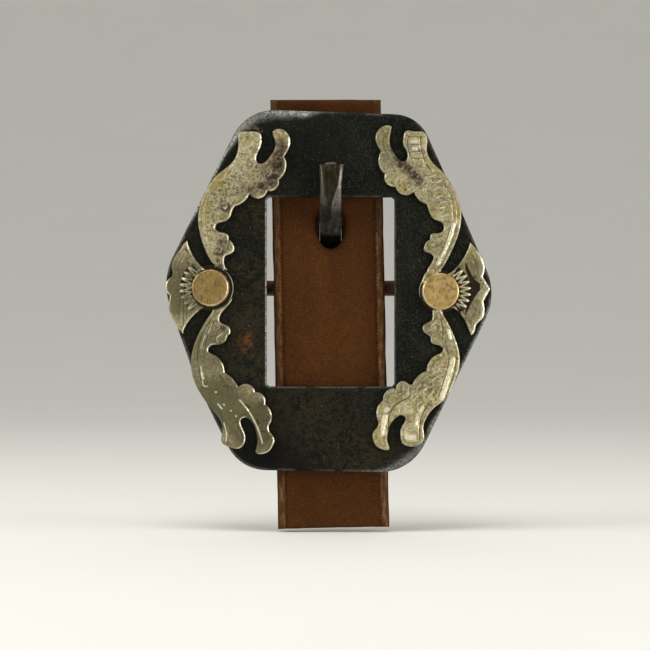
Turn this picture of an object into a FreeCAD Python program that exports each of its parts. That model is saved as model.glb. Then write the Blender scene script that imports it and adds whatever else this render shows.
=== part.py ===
"""Belt buckle with a hinged tongue, overlaid scroll ornaments and a strap, in millimetres.

Frame: origin at the middle of the rear bar, which is the tongue's hinge line.
+X runs to the wearer's right across the buckle, +Z up along the strap, and the front faces -Y.
"""
import math
import os

import FreeCAD, Part

Vector = FreeCAD.Vector

# Slack allowed when edges are picked out by their position
PICK_SLACK = 0.01

# Strap: three-quarter inch harness leather, cut a little full
STRAP_WIDTH = 19.5
STRAP_OFFSET_X = -0.25
STRAP_THICKNESS = 2.8
STRAP_TOP_Z = 32.95
STRAP_TRIM = 0.5
STRAP_BOTTOM_Z = -42.0
STRAP_TILT_DEG = 1.1
STRAP_CORNER = 0.5
STRAP_BACK_Y = -3.0
STRAP_FRONT_Y = STRAP_BACK_Y - STRAP_THICKNESS

# Hole for the tongue: a slot, its ends lower at the back than at the front
HOLE_WIDTH = 4.7
HOLE_FRONT_Z = (6.55, 13.9)
HOLE_BACK_Z = (5.0, 13.3)
HOLE_END_R = 2.3

# Face plate
PLATE_THICKNESS = 2.5
PLATE_BACK_Y = -6.0
PLATE_FRONT_Y = PLATE_BACK_Y - PLATE_THICKNESS
PLATE_CHAMFER = 0.5
# Corners of the plate as x, z and corner radius, clockwise from the upper left
PLATE_CORNERS = [
    (-14.6, 31.0, 8.0),
    (15.2, 29.9, 6.5),
    (21.9, 15.0, 30.0),
    (28.9, -1.3, 10.0),
    (13.9, -32.1, 8.5),
    (-15.8, -31.6, 7.5),
    (-23.1, -16.8, 30.0),
    (-29.4, 1.2, 11.0),
]
WINDOW_HALF_WIDTH = 11.1
WINDOW_TOP_Z = 15.7
WINDOW_BOTTOM_Z = -17.2
WINDOW_CORNER = 0.5
WINDOW_CHAMFER = 0.25

# Quarter-inch rivets that hold ornament, plate, collar, bar and burr together
RIVET_CENTRES = {"left": (-20.8, -0.1), "right": (19.0, -0.7)}
RIVET_HEAD_R = 3.175
RIVET_HEAD_HEIGHT = 0.9
RIVET_HEAD_EDGE = 0.25
RIVET_SHANK_R = 1.6
RIVET_HOLE_R = 1.65
RIVET_TAIL_R = 2.35
RIVET_TAIL_HEIGHT = 0.9
RIVET_TAIL_EDGE = 0.5
BURR_R = 3.1
BURR_THICKNESS = 0.8
COLLAR_R = 2.9

# Rear bar: a round rod with its ends flattened into eyes
BAR_R = 1.4
BAR_EYE_R = 3.3
BAR_EYE_THICKNESS = 2.0
BAR_NECK_LENGTH = 3.0
BAR_NECK_OVERLAP = 1.0
BAR_NECK_HALF_HEIGHT = 1.8

# Ornaments: raised scrollwork round a sunk boss
ORNAMENT_THICKNESS = 0.9
BOSS_THICKNESS = 0.5
BOSS_R = {"left": 4.0, "right": 3.7}
ENGRAVING_DEPTH = 0.25
ZIGZAG_TEETH = 8
ZIGZAG_TOOTH_DEG = 12.5
ZIGZAG_INNER_R = 3.5
ZIGZAG_OUTER_R = 5.1
ZIGZAG_CUT_SHARE = 0.42

# Tongue: forged rod curled round the bar, its tip resting on the plate
TONGUE_WIDTH = 3.8
TONGUE_TIP_WIDTH = 4.2
TONGUE_LEAN_DEG = 41.2
TONGUE_ROOT_OFFSET = 0.1
TONGUE_REST_GAP = 0.05
TONGUE_EDGE = 0.85
TONGUE_EDGE_SHARE = 0.45
TONGUE_TIP_Z = 21.6
TONGUE_TIP_THICKNESS = 1.4
# Straight shank: distance from the root and thickness
SHANK_STATIONS = [(0.0, 1.3), (4.0, 1.8), (8.5, 2.0), (15.2, 2.0)]
# Crown of the bend over the window's edge: height, clearance from the plate, lean, thickness
CROWN_Z = 18.2
CROWN_CLEARANCE = 0.5
CROWN_LEAN_DEG = 8.0
CROWN_THICKNESS = 1.9
TIP_LEAN_DEG = -8.0
CURL_CLEARANCE = 0.06
CURL_WALL = 1.3
CURL_SWEEP_DEG = 270.0
CURL_EDGE = 0.35

# Ornament outlines seen from the front, as x and z.
# Each row is one run from one sharp point to the next: two points make a straight edge,
# three an arc, and more a smooth curve. Runs follow one another round the piece.
LEFT_UPPER_LEAF = [
    [(-16.15, 26.3), (-15.95, 26.75), (-15.2, 26.95), (-14.0, 27.0), (-12.8, 26.95),
     (-12.15, 26.65), (-11.95, 25.95), (-12.1, 24.3), (-12.85, 22.5), (-12.65, 21.6),
     (-11.9, 21.45), (-10.75, 22.35), (-9.8, 23.75), (-9.6, 25.35), (-10.0, 27.0),
     (-8.95, 27.45), (-7.7, 26.95), (-6.95, 25.45), (-7.25, 24.0), (-8.05, 22.65)],
    [(-8.05, 22.65), (-7.65, 20.95), (-8.95, 18.65)],
    [(-8.95, 18.65), (-9.3, 17.2), (-10.95, 16.7)],
    [(-10.95, 16.7), (-12.15, 15.4), (-14.05, 16.15)],
    [(-14.05, 16.15), (-14.9, 14.9), (-16.55, 14.05)],
    [(-16.55, 14.05), (-17.0, 13.3), (-17.4, 12.15), (-18.4, 11.35), (-19.7, 10.95),
     (-19.95, 10.35), (-19.35, 9.65), (-18.1, 9.35), (-17.65, 8.3)],
    [(-17.65, 8.3), (-16.75, 7.3), (-16.65, 6.55), (-17.15, 5.85), (-18.2, 5.45), (-18.45, 4.7),
     (-17.75, 3.0)],
    [(-17.75, 3.0), (-19.3, 3.4), (-20.55, 4.3)],
    [(-20.55, 4.3), (-21.8, 6.65), (-22.6, 9.2), (-22.95, 11.9), (-21.65, 16.65), (-20.3, 18.85),
     (-18.4, 20.45), (-16.8, 21.95), (-16.1, 23.65), (-16.15, 26.3)],
]
LEFT_LOWER_LEAF = [
    [(-17.0, -1.8), (-17.85, -3.3), (-19.1, -4.85), (-19.25, -5.7), (-18.55, -6.35),
     (-17.65, -6.75), (-17.3, -7.6), (-17.85, -8.4)],
    [(-17.85, -8.4), (-18.35, -9.45), (-19.15, -9.9), (-20.6, -10.05), (-21.15, -10.65),
     (-20.8, -11.4)],
    [(-20.8, -11.4), (-19.1, -12.5), (-18.3, -14.75)],
    [(-18.3, -14.75), (-16.95, -15.8), (-15.95, -17.25)],
    [(-15.95, -17.25), (-15.1, -16.7), (-14.2, -16.75), (-13.05, -18.1)],
    [(-13.05, -18.1), (-11.8, -18.5), (-11.3, -20.2)],
    [(-11.3, -20.2), (-10.15, -22.1), (-10.65, -23.9)],
    [(-10.65, -23.9), (-10.45, -25.05), (-9.75, -26.1), (-10.05, -27.55), (-11.1, -28.65),
     (-13.0, -28.55), (-12.8, -27.55), (-12.7, -26.05), (-13.2, -24.05), (-14.0, -22.9),
     (-14.9, -22.55), (-15.5, -22.95), (-15.4, -24.0), (-14.8, -25.35), (-15.0, -27.2),
     (-15.7, -27.85), (-17.3, -27.7), (-18.85, -26.75), (-18.7, -24.7), (-19.25, -22.8),
     (-20.55, -21.1), (-22.5, -18.4), (-23.8, -15.65), (-24.15, -12.45), (-23.55, -9.65),
     (-22.25, -6.85), (-20.25, -3.8)],
    [(-20.25, -3.8), (-18.45, -3.1), (-17.0, -1.8)],
]
RIGHT_UPPER_LEAF = [
    [(10.6, 27.85), (9.35, 28.0), (8.25, 27.25), (7.75, 25.8), (8.05, 24.65), (8.7, 23.55)],
    [(8.7, 23.55), (8.3, 21.4), (9.4, 19.6)],
    [(9.4, 19.6), (9.8, 17.8), (11.2, 17.4)],
    [(11.2, 17.4), (12.6, 16.0), (14.4, 16.5)],
    [(14.4, 16.5), (15.25, 15.15), (16.65, 14.35)],
    [(16.65, 14.35), (17.1, 12.95), (17.85, 11.8), (19.3, 11.1), (19.55, 10.05), (18.9, 9.45),
     (17.65, 9.35), (17.25, 8.25)],
    [(17.25, 8.25), (16.2, 7.15), (16.2, 6.3), (17.25, 5.85), (17.8, 5.3), (17.65, 4.6),
     (16.7, 2.85)],
    [(16.7, 2.85), (16.05, 1.9), (15.7, 0.6)],
    [(15.7, 0.6), (17.2, 1.45), (18.85, 2.7)],
    [(18.85, 2.7), (19.75, 3.95), (20.85, 6.05), (21.85, 8.35), (22.6, 11.5), (22.5, 14.0),
     (21.15, 17.35), (19.3, 20.05), (17.45, 21.9), (16.65, 23.9), (16.75, 25.8), (16.2, 26.85),
     (14.45, 27.0), (13.05, 27.1), (12.6, 26.15), (12.7, 24.35), (13.35, 22.8), (12.7, 21.8),
     (12.0, 22.0), (11.0, 23.2), (10.25, 24.8), (10.35, 26.5), (10.6, 27.85)],
]
RIGHT_LOWER_LEAF = [
    [(17.8, -3.8), (17.6, -4.6), (17.55, -5.5), (16.85, -6.05), (15.95, -6.75), (16.05, -7.6),
     (16.95, -8.25), (17.3, -9.25)],
    [(17.3, -9.25), (18.3, -9.95), (19.35, -10.4), (19.4, -10.95), (18.15, -11.75),
     (17.1, -12.8), (16.6, -14.4)],
    [(16.6, -14.4), (15.15, -15.3), (14.15, -16.8)],
    [(14.15, -16.8), (13.45, -16.65), (12.6, -16.2), (11.8, -16.45), (11.35, -17.5)],
    [(11.35, -17.5), (9.75, -17.85), (9.1, -19.5)],
    [(9.1, -19.5), (7.95, -21.2), (8.25, -23.2)],
    [(8.25, -23.2), (8.05, -24.15), (7.3, -25.2), (7.4, -26.55), (8.35, -27.8), (10.2, -28.0),
     (9.85, -26.75), (9.85, -25.5), (10.25, -23.9), (11.25, -22.65), (12.35, -22.15),
     (12.9, -22.7), (12.3, -24.1), (12.1, -25.9), (12.45, -27.05), (13.65, -27.55),
     (15.05, -27.35), (16.15, -26.3), (16.05, -24.35), (16.75, -22.3), (17.95, -20.8),
     (19.9, -19.25), (21.2, -16.85), (22.15, -14.3), (22.35, -12.15), (21.8, -9.5),
     (20.8, -7.05), (19.0, -3.8)],
    [(19.0, -3.8), (17.8, -3.8)],
]
LEFT_FAN = [
    [(-24.85, 8.15), (-24.05, 6.0), (-21.85, 3.1)],
    [(-21.85, 3.1), (-23.3, 1.8), (-23.75, -0.1), (-23.3, -2.15), (-21.95, -3.4)],
    [(-21.95, -3.4), (-24.05, -5.25), (-25.0, -6.55), (-25.55, -8.05)],
    [(-25.55, -8.05), (-27.0, -6.2), (-27.85, -4.3), (-28.0, -2.7), (-27.8, -1.4)],
    [(-27.8, -1.4), (-28.6, 0.1), (-27.5, 1.85)],
    [(-27.5, 1.85), (-27.35, 2.5), (-27.5, 3.5), (-27.35, 4.5), (-26.95, 5.3), (-26.2, 6.4),
     (-25.3, 7.7), (-24.85, 8.15)],
]
RIGHT_FAN = [
    [(24.15, 7.8), (23.2, 5.45), (20.35, 2.25)],
    [(20.35, 2.25), (21.65, 0.95), (22.0, -0.7), (21.65, -2.5), (20.75, -3.45)],
    [(20.75, -3.45), (22.85, -5.1), (23.55, -6.4), (24.3, -8.3)],
    [(24.3, -8.3), (25.0, -7.35), (25.2, -6.5), (26.3, -5.35), (26.65, -3.75), (26.45, -2.45)],
    [(26.45, -2.45), (27.65, -0.25)],
    [(27.65, -0.25), (26.35, 1.9)],
    [(26.35, 1.9), (26.65, 3.8), (25.75, 5.85), (24.15, 7.8)],
]
ORNAMENTS = {
    "left": (LEFT_UPPER_LEAF, LEFT_LOWER_LEAF, LEFT_FAN),
    "right": (RIGHT_UPPER_LEAF, RIGHT_LOWER_LEAF, RIGHT_FAN),
}
# Direction in which each fan opens, measured from +X towards +Z
FAN_DIRECTION_DEG = {"left": 180.0, "right": 0.0}


def run_edge(points, y):
    """One run of an outline as an edge in the plane at y."""
    places = [Vector(x, y, z) for x, z in points]
    if len(places) == 2:
        return Part.makeLine(*places)
    if len(places) == 3:
        return Part.Arc(*places).toShape()
    curve = Part.BSplineCurve()
    curve.interpolate(places)
    return curve.toShape()


def slab(runs, front_y, thickness):
    """Solid with the outline of the runs, from front_y backwards."""
    wire = Part.Wire([run_edge(points, front_y) for points in runs])
    return Part.Face(wire).extrude(Vector(0, thickness, 0))


def disc(centre, radius, front_y, thickness):
    """Cylinder along Y round an x, z centre."""
    x, z = centre
    return Part.makeCylinder(radius, thickness, Vector(x, front_y, z), Vector(0, 1, 0))


def tube(centre, radius, front_y, thickness):
    """Disc with a rivet hole."""
    return disc(centre, radius, front_y, thickness).cut(
        disc(centre, RIVET_HOLE_R, front_y, thickness))


def rounded_runs(corners):
    """Straight and arc runs round a polygon whose corners are x, z and radius."""
    arcs = []
    for index, (x, z, radius) in enumerate(corners):
        corner = Vector(x, 0, z)
        before = Vector(corners[index - 1][0], 0, corners[index - 1][1])
        following = corners[(index + 1) % len(corners)]
        after = Vector(following[0], 0, following[1])
        to_before = (before - corner).normalize()
        to_after = (after - corner).normalize()
        half_angle = to_before.getAngle(to_after) / 2
        start = corner + to_before * (radius / math.tan(half_angle))
        end = corner + to_after * (radius / math.tan(half_angle))
        inward = (to_before + to_after).normalize()
        middle = corner + inward * (radius / math.sin(half_angle) - radius)
        arcs.append([(point.x, point.z) for point in (start, middle, end)])
    runs = []
    for index, arc in enumerate(arcs):
        runs.append(arc)
        runs.append([arc[-1], arcs[(index + 1) % len(arcs)][0]])
    return runs


def edges_at(shape, y):
    """Edges that lie wholly in the plane at y."""
    return [edge for edge in shape.Edges
            if abs(edge.BoundBox.YMin - y) < PICK_SLACK
            and abs(edge.BoundBox.YMax - y) < PICK_SLACK]


def frame_plate():
    """Six-sided plate with a rectangular window and two rivet holes."""
    body = slab(rounded_runs(PLATE_CORNERS), PLATE_FRONT_Y, PLATE_THICKNESS)
    body = body.makeChamfer(PLATE_CHAMFER, edges_at(body, PLATE_FRONT_Y))
    half = WINDOW_HALF_WIDTH
    window_corners = [(-half, WINDOW_TOP_Z, WINDOW_CORNER), (half, WINDOW_TOP_Z, WINDOW_CORNER),
                      (half, WINDOW_BOTTOM_Z, WINDOW_CORNER),
                      (-half, WINDOW_BOTTOM_Z, WINDOW_CORNER)]
    window_runs = rounded_runs(window_corners)
    body = body.cut(slab(window_runs, PLATE_FRONT_Y, PLATE_THICKNESS))
    rim = [edge for edge in edges_at(body, PLATE_FRONT_Y)
           if abs(edge.CenterOfMass.x) < half + PICK_SLACK
           and abs(edge.CenterOfMass.z) < -WINDOW_BOTTOM_Z + PICK_SLACK]
    body = body.makeChamfer(WINDOW_CHAMFER, rim)
    for centre in RIVET_CENTRES.values():
        body = body.cut(disc(centre, RIVET_HOLE_R, PLATE_FRONT_Y, PLATE_THICKNESS))
    return body


def zigzag(side, front_y):
    """Wedge cuts of the engraved row of teeth between rivet and fan."""
    x, z = RIVET_CENTRES[side]
    cuts = []
    for tooth in range(ZIGZAG_TEETH):
        middle = FAN_DIRECTION_DEG[side] + (tooth - (ZIGZAG_TEETH - 1) / 2) * ZIGZAG_TOOTH_DEG
        spread = ZIGZAG_TOOTH_DEG * ZIGZAG_CUT_SHARE
        corners = [(ZIGZAG_INNER_R, middle), (ZIGZAG_OUTER_R, middle - spread),
                   (ZIGZAG_OUTER_R, middle + spread), (ZIGZAG_INNER_R, middle)]
        points = [(x + radius * math.cos(math.radians(angle)),
                   z + radius * math.sin(math.radians(angle))) for radius, angle in corners]
        cuts.append(slab([points[0:2], points[1:3], points[2:4]], front_y, ENGRAVING_DEPTH))
    return cuts


def ornament(side):
    """Two leaves and a fan joined by the thinner boss round the rivet."""
    centre = RIVET_CENTRES[side]
    front_y = PLATE_FRONT_Y - ORNAMENT_THICKNESS
    boss = disc(centre, BOSS_R[side], PLATE_FRONT_Y - BOSS_THICKNESS, BOSS_THICKNESS)
    seat = disc(centre, RIVET_HEAD_R, front_y, ORNAMENT_THICKNESS)
    raised = [slab(runs, front_y, ORNAMENT_THICKNESS) for runs in ORNAMENTS[side]]
    body = boss.fuse(raised + [seat])
    body = body.cut(zigzag(side, front_y))
    body = body.cut(disc(centre, RIVET_HOLE_R, front_y, ORNAMENT_THICKNESS))
    return body.removeSplitter()


def rivet(side):
    """Flat head, shank through the stack and a peened tail behind the burr."""
    centre = RIVET_CENTRES[side]
    seat_y = PLATE_FRONT_Y - ORNAMENT_THICKNESS
    head = disc(centre, RIVET_HEAD_R, seat_y - RIVET_HEAD_HEIGHT, RIVET_HEAD_HEIGHT)
    head = head.makeFillet(RIVET_HEAD_EDGE, edges_at(head, seat_y - RIVET_HEAD_HEIGHT))
    tail_y = BAR_EYE_THICKNESS / 2 + BURR_THICKNESS
    tail = disc(centre, RIVET_TAIL_R, tail_y, RIVET_TAIL_HEIGHT)
    tail = tail.makeFillet(RIVET_TAIL_EDGE, edges_at(tail, tail_y + RIVET_TAIL_HEIGHT))
    shank = disc(centre, RIVET_SHANK_R, seat_y, tail_y - seat_y)
    return head.fuse([shank, tail]).removeSplitter()


def collar(side):
    """Spacer that holds the bar off the back of the plate."""
    front_y = PLATE_BACK_Y
    return tube(RIVET_CENTRES[side], COLLAR_R, front_y, -BAR_EYE_THICKNESS / 2 - front_y)


def burr(side):
    """Washer between the bar's eye and the rivet's tail."""
    return tube(RIVET_CENTRES[side], BURR_R, BAR_EYE_THICKNESS / 2, BURR_THICKNESS)


def back_bar():
    """Round rod on the hinge line, flattened to an eye over each rivet."""
    ends = {}
    eyes = []
    for side, centre in RIVET_CENTRES.items():
        inward = math.copysign(1.0, -centre[0])
        neck_x = centre[0] + inward * (BAR_EYE_R - BAR_NECK_OVERLAP)
        ends[side] = neck_x + inward * BAR_NECK_LENGTH
        eyes.append(disc(centre, BAR_EYE_R, -BAR_EYE_THICKNESS / 2, BAR_EYE_THICKNESS))
        eyes.append(bar_neck(neck_x, ends[side]))
    rod = Part.makeCylinder(BAR_R, ends["right"] - ends["left"],
                            Vector(ends["left"], 0, 0), Vector(1, 0, 0))
    body = rod.fuse(eyes)
    for centre in RIVET_CENTRES.values():
        body = body.cut(disc(centre, RIVET_HOLE_R, -BAR_R, 2 * BAR_R))
    return body.removeSplitter()


def bar_neck(flat_x, round_x):
    """Taper from the flattened eye to the round rod."""
    half = BAR_EYE_THICKNESS / 2
    flat = Part.makePolygon([Vector(flat_x, y, z) for y, z in (
        (-half, -BAR_NECK_HALF_HEIGHT), (half, -BAR_NECK_HALF_HEIGHT),
        (half, BAR_NECK_HALF_HEIGHT), (-half, BAR_NECK_HALF_HEIGHT),
        (-half, -BAR_NECK_HALF_HEIGHT))])
    reach = BAR_R / math.sqrt(2)
    end = Part.makePolygon([Vector(round_x, y, z) for y, z in (
        (-reach, -reach), (reach, -reach), (reach, reach), (-reach, reach), (-reach, -reach))])
    return Part.makeLoft([flat, end], True, True)


def tongue_section(y, z, lean_deg, width, thickness):
    """Rounded section of the tongue, square to a centre line that leans towards -Y."""
    edge = min(TONGUE_EDGE, TONGUE_EDGE_SHARE * thickness)
    corners = [(-width / 2, thickness / 2, edge), (width / 2, thickness / 2, edge),
               (width / 2, -thickness / 2, edge), (-width / 2, -thickness / 2, edge)]
    wire = Part.Wire([run_edge(points, 0.0) for points in rounded_runs(corners)])
    wire.rotate(Vector(0, 0, 0), Vector(1, 0, 0), 90.0 + lean_deg)
    wire.translate(Vector(0, y, z))
    return wire


def tongue_curl():
    """Ring round the bar, open under the shank."""
    inner = BAR_R + CURL_CLEARANCE
    outer = inner + CURL_WALL
    half = TONGUE_WIDTH / 2
    profile = [(-half, outer, CURL_EDGE), (half, outer, CURL_EDGE),
               (half, inner, CURL_EDGE), (-half, inner, CURL_EDGE)]
    face = Part.Face(Part.Wire([run_edge(points, 0.0) for points in rounded_runs(profile)]))
    face.rotate(Vector(0, 0, 0), Vector(1, 0, 0), TONGUE_LEAN_DEG - 90.0)
    return face.revolve(Vector(0, 0, 0), Vector(1, 0, 0), -CURL_SWEEP_DEG)


def tongue():
    """Curl, leaning shank and a tip that lies along the front of the plate."""
    lean = math.radians(TONGUE_LEAN_DEG)
    inner = BAR_R + CURL_CLEARANCE
    rest_y = PLATE_FRONT_Y - TONGUE_REST_GAP
    sections = []
    for distance, thickness in SHANK_STATIONS:
        offset = inner + TONGUE_ROOT_OFFSET + thickness / 2
        y = offset * math.cos(lean) - distance * math.sin(lean)
        z = offset * math.sin(lean) + distance * math.cos(lean)
        sections.append(tongue_section(y, z, TONGUE_LEAN_DEG, TONGUE_WIDTH, thickness))
    crown_y = rest_y - CROWN_CLEARANCE - CROWN_THICKNESS / 2
    sections.append(tongue_section(crown_y, CROWN_Z, CROWN_LEAN_DEG, TONGUE_WIDTH,
                                   CROWN_THICKNESS))
    sections.append(tongue_section(rest_y - TONGUE_TIP_THICKNESS / 2, TONGUE_TIP_Z,
                                   TIP_LEAN_DEG, TONGUE_TIP_WIDTH, TONGUE_TIP_THICKNESS))
    body = tongue_curl().fuse(Part.makeLoft(sections, True, False))
    bore = Part.makeCylinder(inner, 2 * TONGUE_WIDTH, Vector(-TONGUE_WIDTH, 0, 0),
                             Vector(1, 0, 0))
    return body.cut(bore).removeSplitter()


def strap():
    """Leaning strap with rounded edges, its top end cut level, and the slot for the tongue."""
    length = STRAP_TOP_Z + STRAP_TRIM - STRAP_BOTTOM_Z
    left = STRAP_OFFSET_X - STRAP_WIDTH / 2
    body = Part.makeBox(STRAP_WIDTH, STRAP_THICKNESS, length,
                        Vector(left, STRAP_FRONT_Y, STRAP_BOTTOM_Z))
    long_edges = [edge for edge in body.Edges
                  if abs(edge.BoundBox.ZLength - length) < PICK_SLACK]
    body = body.makeFillet(STRAP_CORNER, long_edges)
    body.rotate(Vector(0, 0, 0), Vector(0, 1, 0), -STRAP_TILT_DEG)
    body = body.cut(Part.makeBox(2 * STRAP_WIDTH, STRAP_THICKNESS, 2 * STRAP_TRIM,
                                 Vector(-STRAP_WIDTH, STRAP_FRONT_Y, STRAP_TOP_Z)))
    half = HOLE_WIDTH / 2
    sections = []
    for y, (low, high) in ((STRAP_FRONT_Y, HOLE_FRONT_Z), (STRAP_BACK_Y, HOLE_BACK_Z)):
        corners = [(-half, high, HOLE_END_R), (half, high, HOLE_END_R),
                   (half, low, HOLE_END_R), (-half, low, HOLE_END_R)]
        sections.append(Part.Wire([run_edge(points, y) for points in rounded_runs(corners)]))
    return body.cut(Part.makeLoft(sections, True, True))


def main():
    """Write one STEP file for each piece."""
    os.makedirs("parts", exist_ok=True)
    pieces = {
        "frame_plate": frame_plate(),
        "back_bar": back_bar(),
        "tongue": tongue(),
        "strap": strap(),
    }
    for side in RIVET_CENTRES:
        pieces[side + "_ornament"] = ornament(side)
        pieces[side + "_rivet"] = rivet(side)
        pieces[side + "_collar"] = collar(side)
        pieces[side + "_burr"] = burr(side)
    for name, shape in pieces.items():
        solid, = shape.Solids
        solid.exportStep(os.path.join("parts", name + ".step"))


main()
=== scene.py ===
"""Belt buckle: weathered steel plate, chased nickel silver ornaments and a harness leather strap.

The helpers work in millimetres in the frame's axes: +X across, +Z up, and the front faces -Y.
Pieces are scaled to metres as they are put into the scene.
"""
import itertools
import math

import bmesh
import bpy
import numpy as np
from mathutils import Matrix, Vector, geometry, kdtree


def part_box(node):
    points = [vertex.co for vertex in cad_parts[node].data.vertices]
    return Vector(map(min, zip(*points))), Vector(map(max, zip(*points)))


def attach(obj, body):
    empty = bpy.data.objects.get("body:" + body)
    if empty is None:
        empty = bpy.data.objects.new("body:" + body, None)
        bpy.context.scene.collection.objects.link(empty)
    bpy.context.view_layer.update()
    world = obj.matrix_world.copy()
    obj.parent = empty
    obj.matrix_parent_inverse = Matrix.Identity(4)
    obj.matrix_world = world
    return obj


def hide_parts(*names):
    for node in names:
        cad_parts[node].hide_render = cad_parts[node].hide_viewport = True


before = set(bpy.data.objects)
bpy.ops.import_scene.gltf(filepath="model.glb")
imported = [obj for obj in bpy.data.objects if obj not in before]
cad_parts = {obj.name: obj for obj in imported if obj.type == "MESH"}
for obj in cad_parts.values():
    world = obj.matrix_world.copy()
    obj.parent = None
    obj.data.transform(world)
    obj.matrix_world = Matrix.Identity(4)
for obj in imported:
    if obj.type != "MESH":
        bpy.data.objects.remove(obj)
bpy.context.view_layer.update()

MM = 0.001

# Levels of the CAD faces along Y
PLATE_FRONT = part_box("frame_plate")[0].y / MM
PLATE_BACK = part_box("frame_plate")[1].y / MM
LEAF_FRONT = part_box("left_ornament")[0].y / MM
STRAP_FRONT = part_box("strap")[0].y / MM
STRAP_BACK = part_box("strap")[1].y / MM


# ---------------------------------------------------------------- numbers and noise

def smoothstep(low, high, value):
    """0 below low, 1 above high, smooth between."""
    share = np.clip((value - low) / (high - low), 0.0, 1.0)
    return share * share * (3.0 - 2.0 * share)


def noise(points, size, seed, octaves=1):
    """Smooth noise from about -1 to 1 with features about size across, for rows of points."""
    total = np.zeros(len(points))
    for octave in range(octaves):
        place = points / size * 2 ** octave + 17.3 * (seed + octave)
        cell = np.floor(place).astype(np.int64)
        part = place - cell
        part = part * part * (3.0 - 2.0 * part)
        for corner in itertools.product((0, 1), repeat=points.shape[1]):
            key = np.full(len(points), seed * 7919, dtype=np.int64)
            weight = np.ones(len(points))
            for axis, step in enumerate(corner):
                key += (cell[:, axis] + step) * (73856093, 19349663, 83492791)[axis]
                weight *= part[:, axis] if step else 1.0 - part[:, axis]
            key = ((key ^ (key >> 13)) * 1274126177) & 0xFFFFFFFF
            key = ((key ^ (key >> 15)) * 2246822519) & 0xFFFFFFFF
            total += weight * ((key >> 8) % 65536 / 32767.5 - 1.0) / 2 ** octave
    return total


def bell(distance, width):
    """1 on a line, falling off to either side of it."""
    return np.exp(-(distance / width) ** 2)


def spots_at(points, areas):
    """Strongest of some soft round spots, given as x, z, reach and strength, at each point."""
    share = np.zeros(len(points))
    for x, z, size, strength in areas:
        away = np.linalg.norm(points - (x, z), axis=1)
        share = np.maximum(share, strength * bell(away, size))
    return share


# ---------------------------------------------------------------- outlines

def flat_loops(node, level):
    """Outlines, as x and z, of the CAD node's faces that lie flat at level along Y."""
    bm = bmesh.new()
    bm.from_mesh(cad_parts[node].data)
    bmesh.ops.remove_doubles(bm, verts=bm.verts, dist=1e-7)
    flat = [face for face in bm.faces
            if all(abs(vert.co.y / MM - level) < 0.02 for vert in face.verts)]
    known = set(flat)
    after = {}
    for face in flat:
        for corner in face.loops:
            if not any(other in known and other is not face for other in corner.edge.link_faces):
                after[corner.vert] = corner.link_loop_next.vert
    loops = []
    while after:
        vert = next(iter(after))
        loop = []
        while vert in after:
            loop.append((vert.co.x / MM, vert.co.z / MM))
            vert = after.pop(vert)
        loops.append(np.array(loop))
    bm.free()
    return sorted(loops, key=loop_area, reverse=True)


def loop_area(loop):
    """Area inside a loop."""
    x, z = loop.T
    return abs(np.sum(x * np.roll(z, -1) - np.roll(x, -1) * z)) / 2


def resample(loop, spacing, corner_deg=24.0):
    """Loop with points about spacing apart; sharp corners stay, and what lies between is eased."""
    before = loop - np.roll(loop, 1, axis=0)
    ahead = np.roll(loop, -1, axis=0) - loop
    turn = np.abs((np.degrees(np.arctan2(ahead[:, 1], ahead[:, 0])
                              - np.arctan2(before[:, 1], before[:, 0])) + 180) % 360 - 180)
    sharp_in = turn > corner_deg
    points, sharp = [], []
    for index, start in enumerate(loop):
        end = loop[(index + 1) % len(loop)]
        count = max(1, math.ceil(np.linalg.norm(end - start) / spacing))
        for step in range(count):
            points.append(start + (end - start) * step / count)
            sharp.append(sharp_in[index] and step == 0)
    points, sharp = np.array(points), np.array(sharp)
    for _ in range(4):
        eased = (np.roll(points, 1, axis=0) + 2 * points + np.roll(points, -1, axis=0)) / 4
        points = np.where(sharp[:, None], points, eased)
    gap = np.linalg.norm(points - np.roll(points, 1, axis=0), axis=1)
    keep = (gap > 0.35 * spacing) | sharp
    return points[keep]


def inside(points, loops):
    """True for points inside the loops, counting a loop within a loop as a hole."""
    order = np.argsort(points[:, 1], kind="stable")
    px, pz = points[order].T
    result = np.zeros(len(points), dtype=bool)
    for loop in loops:
        start, end = loop, np.roll(loop, -1, axis=0)
        low = np.searchsorted(pz, np.minimum(start[:, 1], end[:, 1]))
        high = np.searchsorted(pz, np.maximum(start[:, 1], end[:, 1]))
        for (ax, az), (bx, bz), first, last in zip(start, end, low, high):
            if last > first:
                across = (bx - ax) * (pz[first:last] - az) / (bz - az) + ax
                result[first:last] ^= px[first:last] < across
    answer = np.empty(len(points), dtype=bool)
    answer[order] = result
    return answer


def tree_of(loops, spacing=0.04):
    """Search tree over points close together along the loops."""
    dense = []
    for loop in loops:
        for start, end in zip(loop, np.roll(loop, -1, axis=0)):
            count = max(1, math.ceil(np.linalg.norm(end - start) / spacing))
            dense.extend(start + (end - start) * step / count for step in range(count))
    return tree_of_points(dense)


def tree_of_points(points):
    """Search tree over x, z points."""
    tree = kdtree.KDTree(len(points))
    for index, (x, z) in enumerate(points):
        tree.insert((x, z, 0.0), index)
    tree.balance()
    return tree


def reach(tree, points):
    """Distance from each point to the nearest one in the tree."""
    find = tree.find
    return np.array([find((x, z, 0.0))[2] for x, z in points.tolist()])


def towards(tree, points):
    """Distance from each point to the nearest one in the tree, and the unit step that way."""
    find = tree.find
    found = [find((x, z, 0.0)) for x, z in points.tolist()]
    gap = np.array([item[2] for item in found])
    place = np.array([tuple(item[0])[:2] for item in found])
    return gap, (place - points) / (gap[:, None] + 1e-9)


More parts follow.
